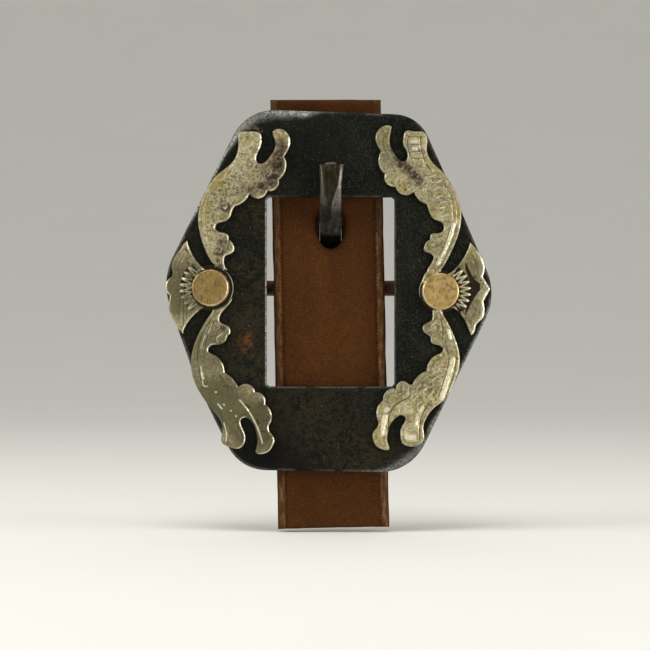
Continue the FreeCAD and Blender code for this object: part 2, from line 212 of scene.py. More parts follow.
def curve_through(points, step=0.12):
    """Points close together on a smooth curve through the given ones."""
    points = [np.array(point, dtype=float) for point in points]
    padded = [2 * points[0] - points[1]] + points + [2 * points[-1] - points[-2]]
    result = []
    for a, b, c, d in zip(padded, padded[1:], padded[2:], padded[3:]):
        count = max(1, math.ceil(np.linalg.norm(c - b) / step))
        for index in range(count):
            t = index / count
            result.append(0.5 * (2 * b + (c - a) * t + (2 * a - 5 * b + 4 * c - d) * t * t
                                 + (3 * b - a - 3 * c + d) * t ** 3))
    result.append(points[-1])
    return np.array(result)


# ---------------------------------------------------------------- sheets with relief

def triangulate(loops, interior):
    """Triangles that fill the loops through the interior points.

    Returns the points, the triangles and each loop's point numbers."""
    given = np.concatenate(loops + [interior]) if len(interior) else np.concatenate(loops)
    edges = []
    first = 0
    for loop in loops:
        edges += [(first + i, first + (i + 1) % len(loop)) for i in range(len(loop))]
        first += len(loop)
    made = geometry.delaunay_2d_cdt([Vector(point) for point in given], edges, [], 0, 1e-6)
    points = np.array([tuple(vert) for vert in made[0]])
    faces = np.array(made[2])
    number = {}
    for index, sources in enumerate(made[3]):
        for source in sources:
            number[source] = index
    centres = points[faces].mean(axis=1)
    faces = faces[inside(centres, loops)]
    rims, first = [], 0
    for loop in loops:
        rims.append([number[first + i] for i in range(len(loop))])
        first += len(loop)
    used = np.unique(faces)
    lookup = np.full(len(points), -1)
    lookup[used] = np.arange(len(used))
    return points[used], lookup[faces], [[lookup[i] for i in rim] for rim in rims]


def fill_points(loops, tree, spacing, rings, seed):
    """Interior points: rows that follow the edge at each ring distance, then an even field."""
    rows = []
    for ring in rings:
        for loop in loops:
            along = np.roll(loop, -1, axis=0) - np.roll(loop, 1, axis=0)
            normal = np.stack([-along[:, 1], along[:, 0]], axis=1)
            normal /= np.linalg.norm(normal, axis=1)[:, None] + 1e-12
            for side in (1, -1):
                row = loop + side * ring * normal
                row = row[inside(row, loops)]
                if len(row):
                    rows.append(row[reach(tree, row) > 0.93 * ring])
    low, high = loops[0].min(axis=0), loops[0].max(axis=0)
    across = np.arange(low[0], high[0], spacing)
    up = np.arange(low[1], high[1], spacing * 0.87)
    field = np.array([(x + (row % 2) * spacing / 2, z) for row, z in enumerate(up)
                      for x in across])
    field += 0.16 * spacing * np.stack([noise(field, 0.31 * spacing, seed),
                                        noise(field, 0.31 * spacing, seed + 1)], axis=1)
    field = field[inside(field, loops)]
    field = field[reach(tree, field) > (rings[-1] if rings else 0.0) + 0.45 * spacing]
    return np.concatenate(rows + [field])


def relief(loops, front, back, spacing, rings, back_loops=None, back_spacing=None, wall_rows=3,
           wall=None, seed=1):
    """Closed sheet: front and back give y from the points and their distance to the edge.

    wall moves the points of the walls: it takes their rows and returns rows of the same shape."""
    back_loops = back_loops or loops
    back_rings = rings if back_spacing else []
    tree, back_tree = tree_of(loops), tree_of(back_loops)
    points, faces, rims = triangulate(loops, fill_points(loops, tree, spacing, rings, seed))
    behind = fill_points(back_loops, back_tree, back_spacing or 4 * spacing, back_rings, seed + 9)
    back_points, back_faces, back_rims = triangulate(back_loops, behind)
    distance = reach(tree, points)
    distance[np.concatenate(rims)] = 0.0
    back_distance = reach(back_tree, back_points)
    back_distance[np.concatenate(back_rims)] = 0.0
    verts = [np.stack([points[:, 0], front(points, distance), points[:, 1]], axis=1),
             np.stack([back_points[:, 0], back(back_points, back_distance), back_points[:, 1]],
                      axis=1)]
    all_faces = [tuple(face) for face in np.concatenate([faces, back_faces + len(points)])]
    count = len(points) + len(back_points)
    for rim, back_rim in zip(rims, back_rims):
        start = verts[0][rim]
        end = verts[1][back_rim]
        rows = [rim]
        for row in range(1, wall_rows):
            between = start + (end - start) * row / wall_rows
            if wall:
                between = wall(between)
            verts.append(between)
            rows.append(list(range(count, count + len(rim))))
            count += len(rim)
        rows.append([index + len(points) for index in back_rim])
        for upper, lower in zip(rows, rows[1:]):
            for i in range(len(rim)):
                j = (i + 1) % len(rim)
                all_faces.append((upper[i], upper[j], lower[j], lower[i]))
    mesh = bpy.data.meshes.new("relief")
    mesh.from_pydata(np.concatenate(verts).tolist(), [], all_faces)
    bm = bmesh.new()
    bm.from_mesh(mesh)
    bmesh.ops.recalc_face_normals(bm, faces=bm.faces)
    bm.to_mesh(mesh)
    bm.free()
    return mesh


# ---------------------------------------------------------------- remeshed solids

def remeshed(node, voxel, smoothing):
    """Even mesh of the CAD node's shape, in millimetres, with its edges eased."""
    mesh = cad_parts[node].data.copy()
    mesh.transform(Matrix.Scale(1.0 / MM, 4))
    bm = bmesh.new()
    bm.from_mesh(mesh)
    bmesh.ops.remove_doubles(bm, verts=bm.verts, dist=1e-4)
    bm.to_mesh(mesh)
    bm.free()
    carrier = bpy.data.objects.new("carrier", mesh)
    bpy.context.scene.collection.objects.link(carrier)
    remesh = carrier.modifiers.new("remesh", "REMESH")
    remesh.mode = "VOXEL"
    remesh.voxel_size = voxel
    ease = carrier.modifiers.new("ease", "SMOOTH")
    ease.iterations = smoothing
    graph = bpy.context.evaluated_depsgraph_get()
    result = bpy.data.meshes.new_from_object(carrier.evaluated_get(graph))
    bpy.data.objects.remove(carrier)
    return result


def places(mesh):
    """Vertex positions of a mesh as rows."""
    rows = np.empty(len(mesh.vertices) * 3)
    mesh.vertices.foreach_get("co", rows)
    return rows.reshape(-1, 3)


def normals(mesh):
    """Vertex normals of a mesh as rows."""
    rows = np.empty(len(mesh.vertices) * 3)
    mesh.vertices.foreach_get("normal", rows)
    return rows.reshape(-1, 3)


def move(mesh, rows):
    """Puts the vertices at new positions."""
    mesh.vertices.foreach_set("co", rows.ravel())
    mesh.update()


def put(mesh, name, nodes, body, slot, marks):
    """Adds a finished piece: marks are its painted values from 0 to 1, one for each vertex."""
    for mark, values in marks.items():
        layer = mesh.attributes.new(mark, "FLOAT", "POINT")
        layer.data.foreach_set("value", np.clip(values, 0.0, 1.0).astype(np.float32))
    mesh.transform(Matrix.Scale(MM, 4))
    mesh.materials.clear()
    mesh.materials.append(MATERIALS[slot])
    mesh.polygons.foreach_set("use_smooth", np.ones(len(mesh.polygons), dtype=bool))
    mesh.name = name
    piece = bpy.data.objects.new(name, mesh)
    bpy.context.scene.collection.objects.link(piece)
    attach(piece, body)
    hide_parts(*nodes)
    return piece


# ---------------------------------------------------------------- materials

class Shade:
    """A node material put together from short calls, in millimetres, one colour over another."""

    def __init__(self, name, colour):
        self.colour = colour
        self.material = bpy.data.materials.new(name)
        self.material.use_nodes = True
        self.tree = self.material.node_tree
        self.shader = self.tree.nodes["Principled BSDF"]
        coords = self.tree.nodes.new("ShaderNodeTexCoord")
        self.mm = self.vector(coords.outputs["Object"], (1.0 / MM,) * 3)

    def connect(self, value, socket):
        """Links an output or sets a plain value."""
        if isinstance(value, bpy.types.NodeSocket):
            self.tree.links.new(value, socket)
        else:
            socket.default_value = value

    def vector(self, source, factors):
        """Vector scaled along each axis."""
        node = self.tree.nodes.new("ShaderNodeVectorMath")
        node.operation = "MULTIPLY"
        self.connect(source, node.inputs[0])
        node.inputs[1].default_value = factors
        return node.outputs[0]

    def noise(self, size, detail=3.0, stretch=(1.0, 1.0, 1.0), twist=0.0):
        """Noise value with features about size across."""
        node = self.tree.nodes.new("ShaderNodeTexNoise")
        source = self.mm if stretch == (1.0, 1.0, 1.0) else self.vector(self.mm, stretch)
        self.connect(source, node.inputs["Vector"])
        node.inputs["Scale"].default_value = 1.0 / size
        node.inputs["Detail"].default_value = detail
        node.inputs["Distortion"].default_value = twist
        return node.outputs[0]

    def cells(self, size):
        """Distance to the nearest of points scattered about size apart, in parts of size."""
        node = self.tree.nodes.new("ShaderNodeTexVoronoi")
        self.connect(self.mm, node.inputs["Vector"])
        node.inputs["Scale"].default_value = 1.0 / size
        return node.outputs["Distance"]

    def mark(self, name):
        """Value painted on the mesh."""
        node = self.tree.nodes.new("ShaderNodeAttribute")
        node.attribute_name = name
        return node.outputs["Fac"]

    def ramp(self, value, low, high, to_low=0.0, to_high=1.0):
        """Value moved smoothly from low..high to to_low..to_high."""
        node = self.tree.nodes.new("ShaderNodeMapRange")
        node.interpolation_type = "SMOOTHSTEP"
        for socket, number in zip(node.inputs, (value, low, high, to_low, to_high)):
            self.connect(number, socket)
        return node.outputs[0]

    def patches(self, size, detail, low, high, *ends, **kind):
        """Patches of noise, moved from low..high to the ends, or to 0..1."""
        return self.ramp(self.noise(size, detail, **kind), low, high, *ends)

    def broken(self, mark, *patches):
        """A painted mark broken up by patches."""
        return self.times(self.mark(mark), self.patches(*patches))

    def specks(self, size, reach, *patches):
        """Round specks, size apart and fading out at reach, within patches."""
        return self.times(self.ramp(self.cells(size), 0.10, reach, 1.0, 0.0),
                          self.patches(*patches))

    def times(self, first, second):
        """Product of two values."""
        return self.math("MULTIPLY", first, second)

    def less(self, first, second, share):
        """First value less a share of the second."""
        return self.math("SUBTRACT", first, self.times(second, share))

    def math(self, operation, first, second):
        """Sum, product, least or most of two values."""
        node = self.tree.nodes.new("ShaderNodeMath")
        node.operation = operation
        self.connect(first, node.inputs[0])
        self.connect(second, node.inputs[1])
        return node.outputs[0]

    def mix(self, share, first, second):
        """Colour between two colours."""
        node = self.tree.nodes.new("ShaderNodeMix")
        node.data_type = "RGBA"
        self.connect(share, node.inputs[0])
        for socket, colour in ((node.inputs[6], first), (node.inputs[7], second)):
            self.connect(colour if isinstance(colour, bpy.types.NodeSocket) else (*colour, 1.0),
                         socket)
        return node.outputs[2]

    def lay(self, share, colour):
        """Lays a share of a colour over what is there."""
        self.colour = self.mix(share, self.colour, colour)

    def bump(self, height, depth, below=None):
        """Normal from a height of 0 to 1 that stands for depth millimetres."""
        node = self.tree.nodes.new("ShaderNodeBump")
        node.inputs["Strength"].default_value = 1.0
        node.inputs["Distance"].default_value = depth * MM
        self.connect(height, node.inputs["Height"])
        if below:
            self.connect(below, node.inputs["Normal"])
        return node.outputs[0]

    def finish(self, **values):
        """Connects the shader's sockets; names use _ for spaces."""
        for name, value in {"Base Color": self.colour, **values}.items():
            self.connect(value, self.shader.inputs[name.replace("_", " ")])
        return self.material


def plate_material():
    """Blackened steel: green-black scale, olive and rust patches, grey worn edges (partly a
    painted highlight) and painted shade.
    """
    s = Shade("blackened steel", (0.0034, 0.0040, 0.0027))
    s.lay(s.patches(5.0, 4.0, 0.35, 0.68), (0.0082, 0.0090, 0.0060))
    s.lay(s.patches(0.42, 4.0, 0.48, 0.68, 0.0, 0.75), (0.023, 0.024, 0.017))
    grit = s.patches(0.26, 3.0, 0.57, 0.68, 0.0, 0.50)
    s.lay(s.times(grit, s.patches(3.1, 3.0, 0.42, 0.60)), (0.056, 0.056, 0.041))
    s.lay(s.broken("stain", 0.8, 5.0, 0.40, 0.62), (0.024, 0.018, 0.0075))
    s.lay(s.broken("rust", 0.7, 7.0, 0.38, 0.62), (0.110, 0.044, 0.012))
    s.lay(s.broken("crust", 0.5, 5.0, 0.34, 0.56), (0.140, 0.105, 0.062))
    speck = s.specks(0.70, 0.18, 2.2, 3.0, 0.52, 0.64)
    s.lay(s.times(speck, 0.48), (0.150, 0.150, 0.118))
    # Painted shade by the ornaments and along the bottom edge, and dark patches
    s.lay(s.mark("soot_and_shade"), (0.0025, 0.0024, 0.0020))
    # Worn grey edges, with a painted highlight along the window's left rim
    scuffed = s.broken("wear_and_highlight", 0.34, 5.0, 0.34, 0.58, 0.30, 1.0)
    s.lay(scuffed, (0.215, 0.220, 0.205))
    rough = s.less(s.patches(0.8, 3.0, 0.3, 0.7, 0.44, 0.68), scuffed, 0.14)
    low = s.bump(s.noise(2.4, 3.0), 0.10)
    normal = s.bump(s.noise(0.28, 5.0), 0.045, low)
    return s.finish(Roughness=rough, Metallic=scuffed, Normal=normal, Specular_IOR_Level=0.07)


def silver_material():
    """Nickel silver: pale and yellowish, black in the cuts, brown tarnish, painted shade on edges
    and walls, painted highlights on rims and crests.
    """
    s = Shade("nickel silver", (0.540, 0.500, 0.325))
    s.lay(s.patches(3.2, 3.0, 0.38, 0.62), (0.455, 0.395, 0.205))
    s.lay(s.patches(1.6, 4.0, 0.52, 0.70, 0.0, 0.60), (0.460, 0.375, 0.125))
    s.lay(s.broken("gilt", 0.9, 4.0, 0.34, 0.60, 0.25, 1.0), (0.420, 0.345, 0.110))
    s.lay(s.patches(1.15, 5.0, 0.50, 0.66, 0.0, 0.55, twist=0.5), (0.190, 0.155, 0.085))
    blotch = s.times(s.patches(0.40, 5.0, 0.47, 0.63, 0.0, 0.72),
                     s.patches(2.3, 3.0, 0.42, 0.58, 0.35, 1.0))
    s.lay(blotch, (0.165, 0.132, 0.068))
    s.lay(s.patches(0.60, 4.0, 0.53, 0.66, 0.0, 0.70, twist=0.8), (0.700, 0.665, 0.470))
    s.lay(s.mark("dull"), (0.118, 0.108, 0.056))
    grain = s.mix(s.patches(0.50, 6.0, 0.42, 0.58), (0.235, 0.170, 0.055), (0.780, 0.690, 0.380))
    s.lay(s.times(s.mark("grain"), 0.38), grain)
    brown = s.broken("tarnish", 0.5, 5.0, 0.36, 0.58, 0.60, 1.0)
    s.lay(brown, (0.046, 0.028, 0.024))
    speck = s.specks(0.55, 0.20, 1.9, 3.0, 0.46, 0.56)
    # Black in cuts and specks, with painted shade along edges and walls
    grime_and_shade = s.math("MAXIMUM", s.mark("grime_and_shade"), s.times(speck, 0.7))
    s.lay(grime_and_shade, (0.017, 0.011, 0.007))
    # Bright metal that is mostly painted highlight
    bright = s.mark("polish_and_highlight")
    s.lay(bright, (0.900, 0.850, 0.640))
    rough = s.math("ADD", s.patches(0.5, 3.0, 0.3, 0.7, 0.30, 0.52), s.times(grime_and_shade, 0.3))
    grimy = s.math("MAXIMUM", grime_and_shade, brown)
    low = s.bump(s.noise(0.8, 3.0, twist=0.6), 0.13)
    normal = s.bump(s.noise(0.20, 4.0), 0.055, low)
    return s.finish(Roughness=s.less(rough, bright, 0.14), Metallic=s.less(0.92, grimy, 0.85),
                    Normal=normal, Specular_IOR_Level=s.less(0.45, grimy, 0.38))


def brass_material():
    """Brass worn satin: fine scratches both ways, brown in patches, painted shade under the head,
    painted highlights on a rim.
    """
    s = Shade("rivet brass", (0.640, 0.455, 0.195))
    s.lay(s.patches(1.6, 4.0, 0.36, 0.64), (0.540, 0.360, 0.130))
    s.lay(s.patches(0.75, 6.0, 0.48, 0.62, 0.0, 0.70), (0.300, 0.195, 0.066))
    s.lay(s.patches(0.8, 7.0, 0.50, 0.68, 0.0, 0.50), (0.760, 0.610, 0.340))
    along = s.noise(0.16, 2.0, (1.0, 1.0, 0.12))
    dark_lines = s.times(s.ramp(along, 0.54, 0.66), 0.55)
    dull = s.mark("dull")
    s.lay(s.times(dull, 0.62), (0.230, 0.165, 0.058))
    s.lay(s.times(dark_lines, dull), (0.085, 0.058, 0.022))
    vein = s.math("ABSOLUTE", s.math("SUBTRACT", s.noise(1.5, 5.0, twist=1.2), 0.5), 0.0)
    vein = s.times(s.ramp(vein, 0.002, 0.016, 0.75, 0.0), s.patches(1.3, 3.0, 0.46, 0.60))
    s.lay(vein, (0.120, 0.075, 0.026))
    # Painted shade under the rivet head, and dirt on the tail and washers
    s.lay(s.mark("grime_and_shade"), (0.050, 0.030, 0.014))
    # Painted highlight on the rivet rim and bright worn edges
    s.lay(s.mark("polish_and_highlight"), (0.900, 0.740, 0.450))
    rough = s.less(s.ramp(along, 0.3, 0.7, 0.34, 0.50), s.mark("polish_and_highlight"), 0.12)
    across = s.noise(0.19, 2.0, (0.12, 1.0, 1.0))
    low = s.bump(across, 0.014, s.bump(along, 0.020))
    normal = s.bump(s.noise(0.7, 3.0), 0.05, low)
    return s.finish(Roughness=rough, Metallic=0.95, Normal=normal)


def steel_material(name, dark, light, rust_share, grain):
    """Old steel: mottled between dark and light, with rust over part of it, grime, painted shade
    and worn edges partly painted as highlights.
    """
    s = Shade(name, dark)
    s.lay(s.patches(0.9, 5.0, 0.36, 0.64, stretch=(1.0, 1.0, 0.45)), light)
    rust = s.patches(0.9, 6.0, 0.62 - 0.34 * rust_share, 0.80 - 0.34 * rust_share)
    rust = s.times(rust, min(1.0, 0.3 + rust_share))
    s.lay(rust, (0.105, 0.040, 0.017))
    grime = s.mix(s.patches(0.5, 4.0, 0.40, 0.62, stretch=(1.0, 1.0, 0.14)),
                  (0.015, 0.011, 0.004), (0.056, 0.043, 0.016))
    s.lay(s.mark("grime_and_shade"), grime)
    # Painted shade, such as where the tongue goes into the slot, and soot
    s.lay(s.mark("soot_and_shade"), (0.0020, 0.0020, 0.0018))
    # Worn edges, partly painted highlights
    scuffed = s.broken("wear_and_highlight", 0.4, 4.0, 0.3, 0.6, 0.3, 1.0)
    s.lay(scuffed, (0.36, 0.35, 0.30))
    rough = s.less(s.patches(0.6, 4.0, 0.3, 0.7, 0.42, 0.66), scuffed, 0.15)
    soot_shade = s.ramp(s.mark("soot_and_shade"), 0.50, 0.95)
    metal = s.less(0.75, s.math("MAXIMUM", rust, soot_shade), 0.7)
    low = s.bump(s.noise(0.9, 4.0), 0.09)
    normal = s.bump(s.noise(grain, 5.0), 0.045, low)
    return s.finish(Roughness=rough, Metallic=metal, Normal=normal,
                    Specular_IOR_Level=s.less(0.20, soot_shade, 0.18))


def leather_material():
    """Harness leather: fine grain, mottled brown, burnished edges, painted shade in the hole and a
    painted shadow of the plate.
    """
    s = Shade("strap leather", (0.064, 0.0212, 0.0034))
    s.lay(s.patches(6.0, 4.0, 0.34, 0.66, stretch=(1.0, 1.0, 0.35)), (0.045, 0.0142, 0.0022))
    s.lay(s.patches(1.1, 5.0, 0.40, 0.66, 0.0, 0.60), (0.040, 0.0128, 0.0024))
    s.lay(s.patches(0.30, 4.0, 0.48, 0.66, 0.0, 0.60), (0.098, 0.037, 0.0078))
    flesh = s.mix(s.patches(0.9, 6.0, 0.36, 0.62, twist=1.5), (0.150, 0.078, 0.036),
                  (0.098, 0.046, 0.020))
    s.lay(s.mark("flesh"), flesh)
    streak = s.patches(0.45, 5.0, 0.40, 0.60, 0.20, 1.0, stretch=(1.0, 1.0, 0.30))
    s.lay(s.times(s.mark("burnish"), streak), (0.205, 0.118, 0.060))
    # Dark creases and edges, painted shade in the slot and a painted shadow of the plate
    s.lay(s.mark("grime_and_shade"), (0.007, 0.0028, 0.0014))
    rough = s.patches(1.2, 3.0, 0.3, 0.7, 0.50, 0.68)
    pores = s.ramp(s.cells(0.34), 0.05, 0.42)
    low = s.bump(pores, 0.030, s.bump(s.noise(1.7, 3.0), 0.07))
    normal = s.bump(s.noise(0.14, 4.0), 0.035, low)
    gloss = s.times(s.math("SUBTRACT", 1.0, s.mark("grime_and_shade")), 0.08)
    return s.finish(Roughness=rough, Normal=normal, Specular_IOR_Level=gloss)


MATERIALS = {
    "blackened_steel": plate_material(),
    "nickel_silver": silver_material(),
    "rivet_brass": brass_material(),
    "dark_steel": steel_material("dark steel", (0.020, 0.021, 0.019), (0.046, 0.044, 0.038), 0.30,
                                 0.25),
    "rusted_steel": steel_material("rusted steel", (0.040, 0.026, 0.017), (0.078, 0.046, 0.026),
                                   0.85, 0.30),
    "forged_steel": steel_material("forged steel", (0.022, 0.022, 0.018), (0.078, 0.075, 0.060),
                                   0.10, 0.22),
    "strap_leather": leather_material(),
}


# ---------------------------------------------------------------- ornaments

def areas(text):
    """Rows of x, z, reach and strength from a table."""
    return [tuple(float(cell) for cell in row.split()) for row in text.split(",")]


def strokes(text):
    """Lines of x, z points from a table: semicolons part the lines and commas the points."""
    return [[tuple(float(cell) for cell in point.split()) for point in stroke.split(",")]
            for stroke in text.split(";")]


def chased(text):
    """Rows of kind, width, depth and points from a table."""
    rows = []
    for line in text.strip().split("\n"):
        kind, *cells = line.split()
        width, depth, *ends = [float(cell) for cell in cells]
        rows.append((kind, width, depth, list(zip(ends[::2], ends[1::2]))))
    return rows


# Chased lines of each ornament: kind, width and depth, then its points as x and z.
# A "cut" is a dark groove, a "line" a soft crease, a "ridge" a raised crest with a painted
# highlight and a "panel" a raised facet with a painted highlight.
CHASING = {
    "left": chased("""
ridge 0.05 0.04  -16.9 21.3  -17.8 20.1  -18.7 18.8
line 0.12 0.09  -16.6 21.2  -18.3 18.7  -20.8 16  -21.5 13.4  -21.6 11  -21 8.4  -20.2 6.2
cut 0.1 0.14  -15.6 23.1  -14.4 23
line 0.22 0.08  -9 26.6  -8.7 25  -9.6 22.4  -11.4 20.6
cut 0.16 0.1  -18.9 13.5  -18.2 13.2  -17.6 13.7  -17.7 14.4
ridge 0.1 0.06  -18.5 13.9  -18.2 13.6  -18 14
panel 0.09 0.06  -22.4 -13.6  -22.3 -14.8
panel 0.19 0.07  -22.25 -14.9  -22.05 -15.7
cut 0.09 0.08  -21.95 -16.2  -21.7 -16.7  -21.35 -16.6  -21.4 -16.1
ridge 0.08 0.06  -22.2 -16.1  -21.9 -17  -21.3 -17.1
panel 0.13 0.04  -19.9 -18.1  -19.8 -18.1
panel 0.12 0.04  -18.5 -20.2  -18.4 -20.3
panel 0.13 0.04  -17.3 -21.3  -17.2 -21.3
panel 0.11 0.04  -16.4 -22.2  -16.3 -22.3
cut 0.11 0.1  -19.3 -15.2  -18.6 -15.8
cut 0.1 0.08  -22.65 -14.2  -22.45 -15.8  -22 -16.7
panel 0.12 0.07  -19.5 -20.1  -18.8 -20.95
line 0.14 0.09  -19.3 -21  -18.6 -23.2  -18.2 -25.3  -18.3 -26.6
ridge 0.08 0.06  -18.45 -23.4  -18 -25.3  -18.1 -26.6
cut 0.2 0.12  -15 -20.1  -14 -20.75
cut 0.09 0.14  -15.6 -19.7  -14.6 -20.6  -13.6 -22.2  -12.75 -23.9
cut 0.17 0.12  -12.75 -22.9  -12.4 -23.6
cut 0.13 0.1  -11.9 -24.9  -11.4 -25
ridge 0.11 0.09  -15.7 -19.5  -14.3 -21.2  -13.3 -22.9  -12.4 -24.9  -11.8 -26.9
cut 0.11 0.08  -20.6 -5.4  -22.1 -8  -22.9 -10.6  -23 -12.6
ridge 0.06 0.05  -21.6 -8.2  -22.1 -9.4  -22.4 -10.6
cut 0.1 0.08  -20 -5.6  -21.3 -8.4  -21.9 -11.4
ridge 0.05 0.05  -20.5 -6.4  -21.2 -8
line 0.15 0.09  -19.6 -5.6  -20 -7.5  -19 -8.9
line 0.15 0.07  -18 -7  -19.2 -7.3  -20 -8.3
line 0.2 0.06  -16.6 -17.6  -18 -17  -19 -15.6
cut 0.14 0.18  -25.15 2.2  -25.35 1.5
cut 0.17 0.18  -25.25 -0.4  -25.2 -1.3
cut 0.12 0.14  -25.3 0.6  -25.1 -0.2
cut 0.08 0.09  -25.4 -2.1  -25.5 -6.4
cut 0.07 0.08  -24.8 -2.2  -24.9 -5.4
cut 0.07 0.08  -26.1 -2  -26.2 -5.2
line 0.14 0.08  -25 6.4  -26.2 3.6  -26 1.4
line 0.12 0.08  -25.6 5.2  -26.7 2.6"""),
    "right": chased("""
cut 0.1 0.13  13.5 26  15.3 26
cut 0.09 0.12  13.4 24.7  15.3 24.7
cut 0.09 0.12  13.5 23.4  15.5 23.5
cut 0.09 0.12  14 22.2  15.9 22.4
cut 0.1 0.13  13.4 26.1  13.3 24.6  13.7 23  14 21.9
cut 0.13 0.14  15.5 26  15.7 23.8  16.4 21.6  17.2 20.4
panel 0.33 0.03  14.1 25.35  14.7 25.35
panel 0.3 0.03  14.3 24.05  14.8 24.05
cut 0.12 0.12  17.5 18.4  18.6 18.8  19.6 18.4
line 0.16 0.11  19.4 18.3  20.7 15.9  21.2 13.7  21.3 11.9
panel 0.24 0.08  21.3 10.9  20.9 9.4  20.2 7.5
ridge 0.2 0.08  20.2 7.4  19.4 5.8  18.6 4
line 0.13 0.1  21.7 10.6  21.1 8.4  20.1 6
cut 0.1 0.08  20.8 10.8  20.4 9.2  19.7 7.4  18.9 5.8
line 0.16 0.09  17.4 7.6  18.4 8.6  19.5 8.8
line 0.15 0.08  16.9 6.6  18.3 7.1  19.4 7.6
line 0.2 0.08  14.4 17.6  15.8 17.6  17 16.6  18.4 16.6
line 0.22 0.08  9.2 26.6  9.1 24.9  10 22.4  11.7 20.8
panel 0.36 0.09  21.15 -12.4  20.65 -14.5  19.8 -17.3  19.15 -19.2
cut 0.11 0.11  21.75 -12.3  21.3 -14.9  20.4 -17.7  19.8 -19.2
cut 0.1 0.1  20.5 -12.3  20 -14.7  19.2 -17.3  18.6 -19
panel 0.24 0.09  20.3 -7.4  20.7 -8.8
cut 0.13 0.16  13.7 -17.2  13.6 -18.9  12 -19.8  10.8 -20.8  10.1 -22.3  9.95 -24.4  9.75 -26.5
panel 0.4 0.07  9.35 -22.4  9.15 -23.6  9.1 -25.2
panel 0.36 0.07  9.55 -21.2  9.8 -21
line 0.1 0.1  9 -21.75  9.9 -21.85
line 0.1 0.08  11 -19.6  12.2 -18.7  13.2 -18.6
cut 0.12 0.14  16.9 -20.2  15.8 -22  15.4 -24.2  15.4 -26.4
panel 0.27 0.07  14.95 -22.4  14.7 -23.7
panel 0.22 0.06  15.9 -20.6  15.5 -21.3
panel 0.52 0.06  13.4 -25.85  14.3 -25.85
line 0.13 0.1  12.6 -25  12.5 -26.2  13.3 -26.9  14.9 -26.8
line 0.15 0.1  17.2 -9.8  16.5 -11  17 -12.6
line 0.15 0.09  15.8 -14.6  17.2 -13.6  18.8 -13.2
line 0.15 0.09  14.2 -17.2  16 -16.4  17.4 -15.2
line 0.14 0.09  17.3 -5.6  18.4 -6.8  18.6 -8.6
cut 0.13 0.09  19 -5.4  19.4 -7.2  19.3 -9
line 0.16 0.08  17.8 -11  18.6 -12.6  18.2 -14.2
cut 0.13 0.15  22 -3.8  23.5 -4.7
line 0.2 0.07  24.4 5.6  25.2 3.6  25.4 2.2
cut 0.09 0.1  24.4 -2.9  25.2 -4"""),
}
# Short curls cut with a graver: each has a painted highlight on the lip at its lower right
CURLS = {
    "left": strokes("""
-12.4 19.6, -11.9 18.9, -12.3 18.3; -10.9 20.9, -10.4 20.1, -10.9 19.4; -9.6 20.6, -9.3 19.9;
-18.6 8.5, -18 7.9, -18.2 7.1; -19.5 7.6, -19 6.8, -19.3 6.1; -19.9 5.6, -19.2 5.1, -19.2 4.3;
-20.4 5, -19.9 4.3; -18.9 -7.9, -19.8 -8.6, -19.7 -9.3"""),
    "right": strokes("""
16.9 18.8, 18 18.2, 19.3 18.8, 20.1 18.5; 17.5 16.8, 18.6 17.5, 19.9 17.1;
16.4 17.2, 16.2 16.6, 16.6 16.2; 18 15.5, 19.2 16, 20.3 15.3; 19 14.8, 20 15, 20.9 14.3;
18.8 13.8, 19.9 14, 20.7 13.3; 18.4 12.9, 19.3 12.4, 20.1 12.9; 15.2 21.8, 15.8 21.4, 16.4 21.7;
14.7 21.4, 15.3 20.7, 16.2 20.6; 16.7 19.9, 17.3 19.3, 18.1 19.6; 15.4 19.2, 16 18.5, 15.7 17.9;
18.2 5.9, 18.6 5; 17.9 4.8, 18.3 3.9; 17.3 -10.6, 18.2 -10.9, 18.9 -11.6;
18.2 -15.4, 17.4 -16, 17.6 -16.9; 16.6 -17.2, 15.8 -17.9, 16.1 -18.8; 17.6 -17.9, 17 -18.6;
18.7 -13.9, 18.2 -14.6; 14.9 -18.6, 14.2 -19.4; 15.6 -19.6, 14.8 -20.3, 15 -21.2;
19.4 -10.6, 19.8 -11.5; 17.9 -6, 17.2 -6.7, 17.6 -7.4"""),
}
CURL_WIDTH = 0.085
CURL_LIP = np.array((0.13, -0.11))
# Areas as x, z, reach and strength: brown tarnish, soft black mottling and darker patches of metal
TARNISH = {
    "left": areas("""
-8.6 25 1 0.9,  -8.2 24 1 1,  -8.9 22.6 1.5 1,  -9.1 20.9 1.6 1,  -10.6 20.2 2.9 0.55,
-9.9 18.6 1.6 1,  -11.6 17.5 1.4 0.95,  -13.6 16.7 1.2 0.8,  -15.4 16.7 1 0.5,
-18.1 13.7 0.9 0.7,  -13 20 2.2 0.35,  -18.3 7.8 1.2 0.7,  -19.2 6.1 1.1 0.6,
-18.6 -7.1 0.55 0.9,  -11.9 -20.4 0.8 0.75,  -18.9 3.9 0.8 0.7,  -24 1.6 0.8 0.6,
-19.3 4.6 0.8 0.5"""),
    "right": areas("""
10.9 23.7 0.7 0.9,  11.6 22.4 0.9 0.95,  12.3 21.4 1 1,  13.3 20.5 1.1 1,  14.3 19.5 1 1,
15.3 18.5 0.9 1,  13.9 18 0.5 0.5,  25 0.2 0.7 0.9,  9 -18.9 0.8 0.5,  16.8 -6.7 0.7 0.6,
17.2 -8 0.5 0.5,  12.2 -15.9 0.6 0.4,  10.6 -27.6 0.5 0.6,  21.5 9.9 0.4 0.5,
14.6 -27.4 0.5 0.5"""),
}
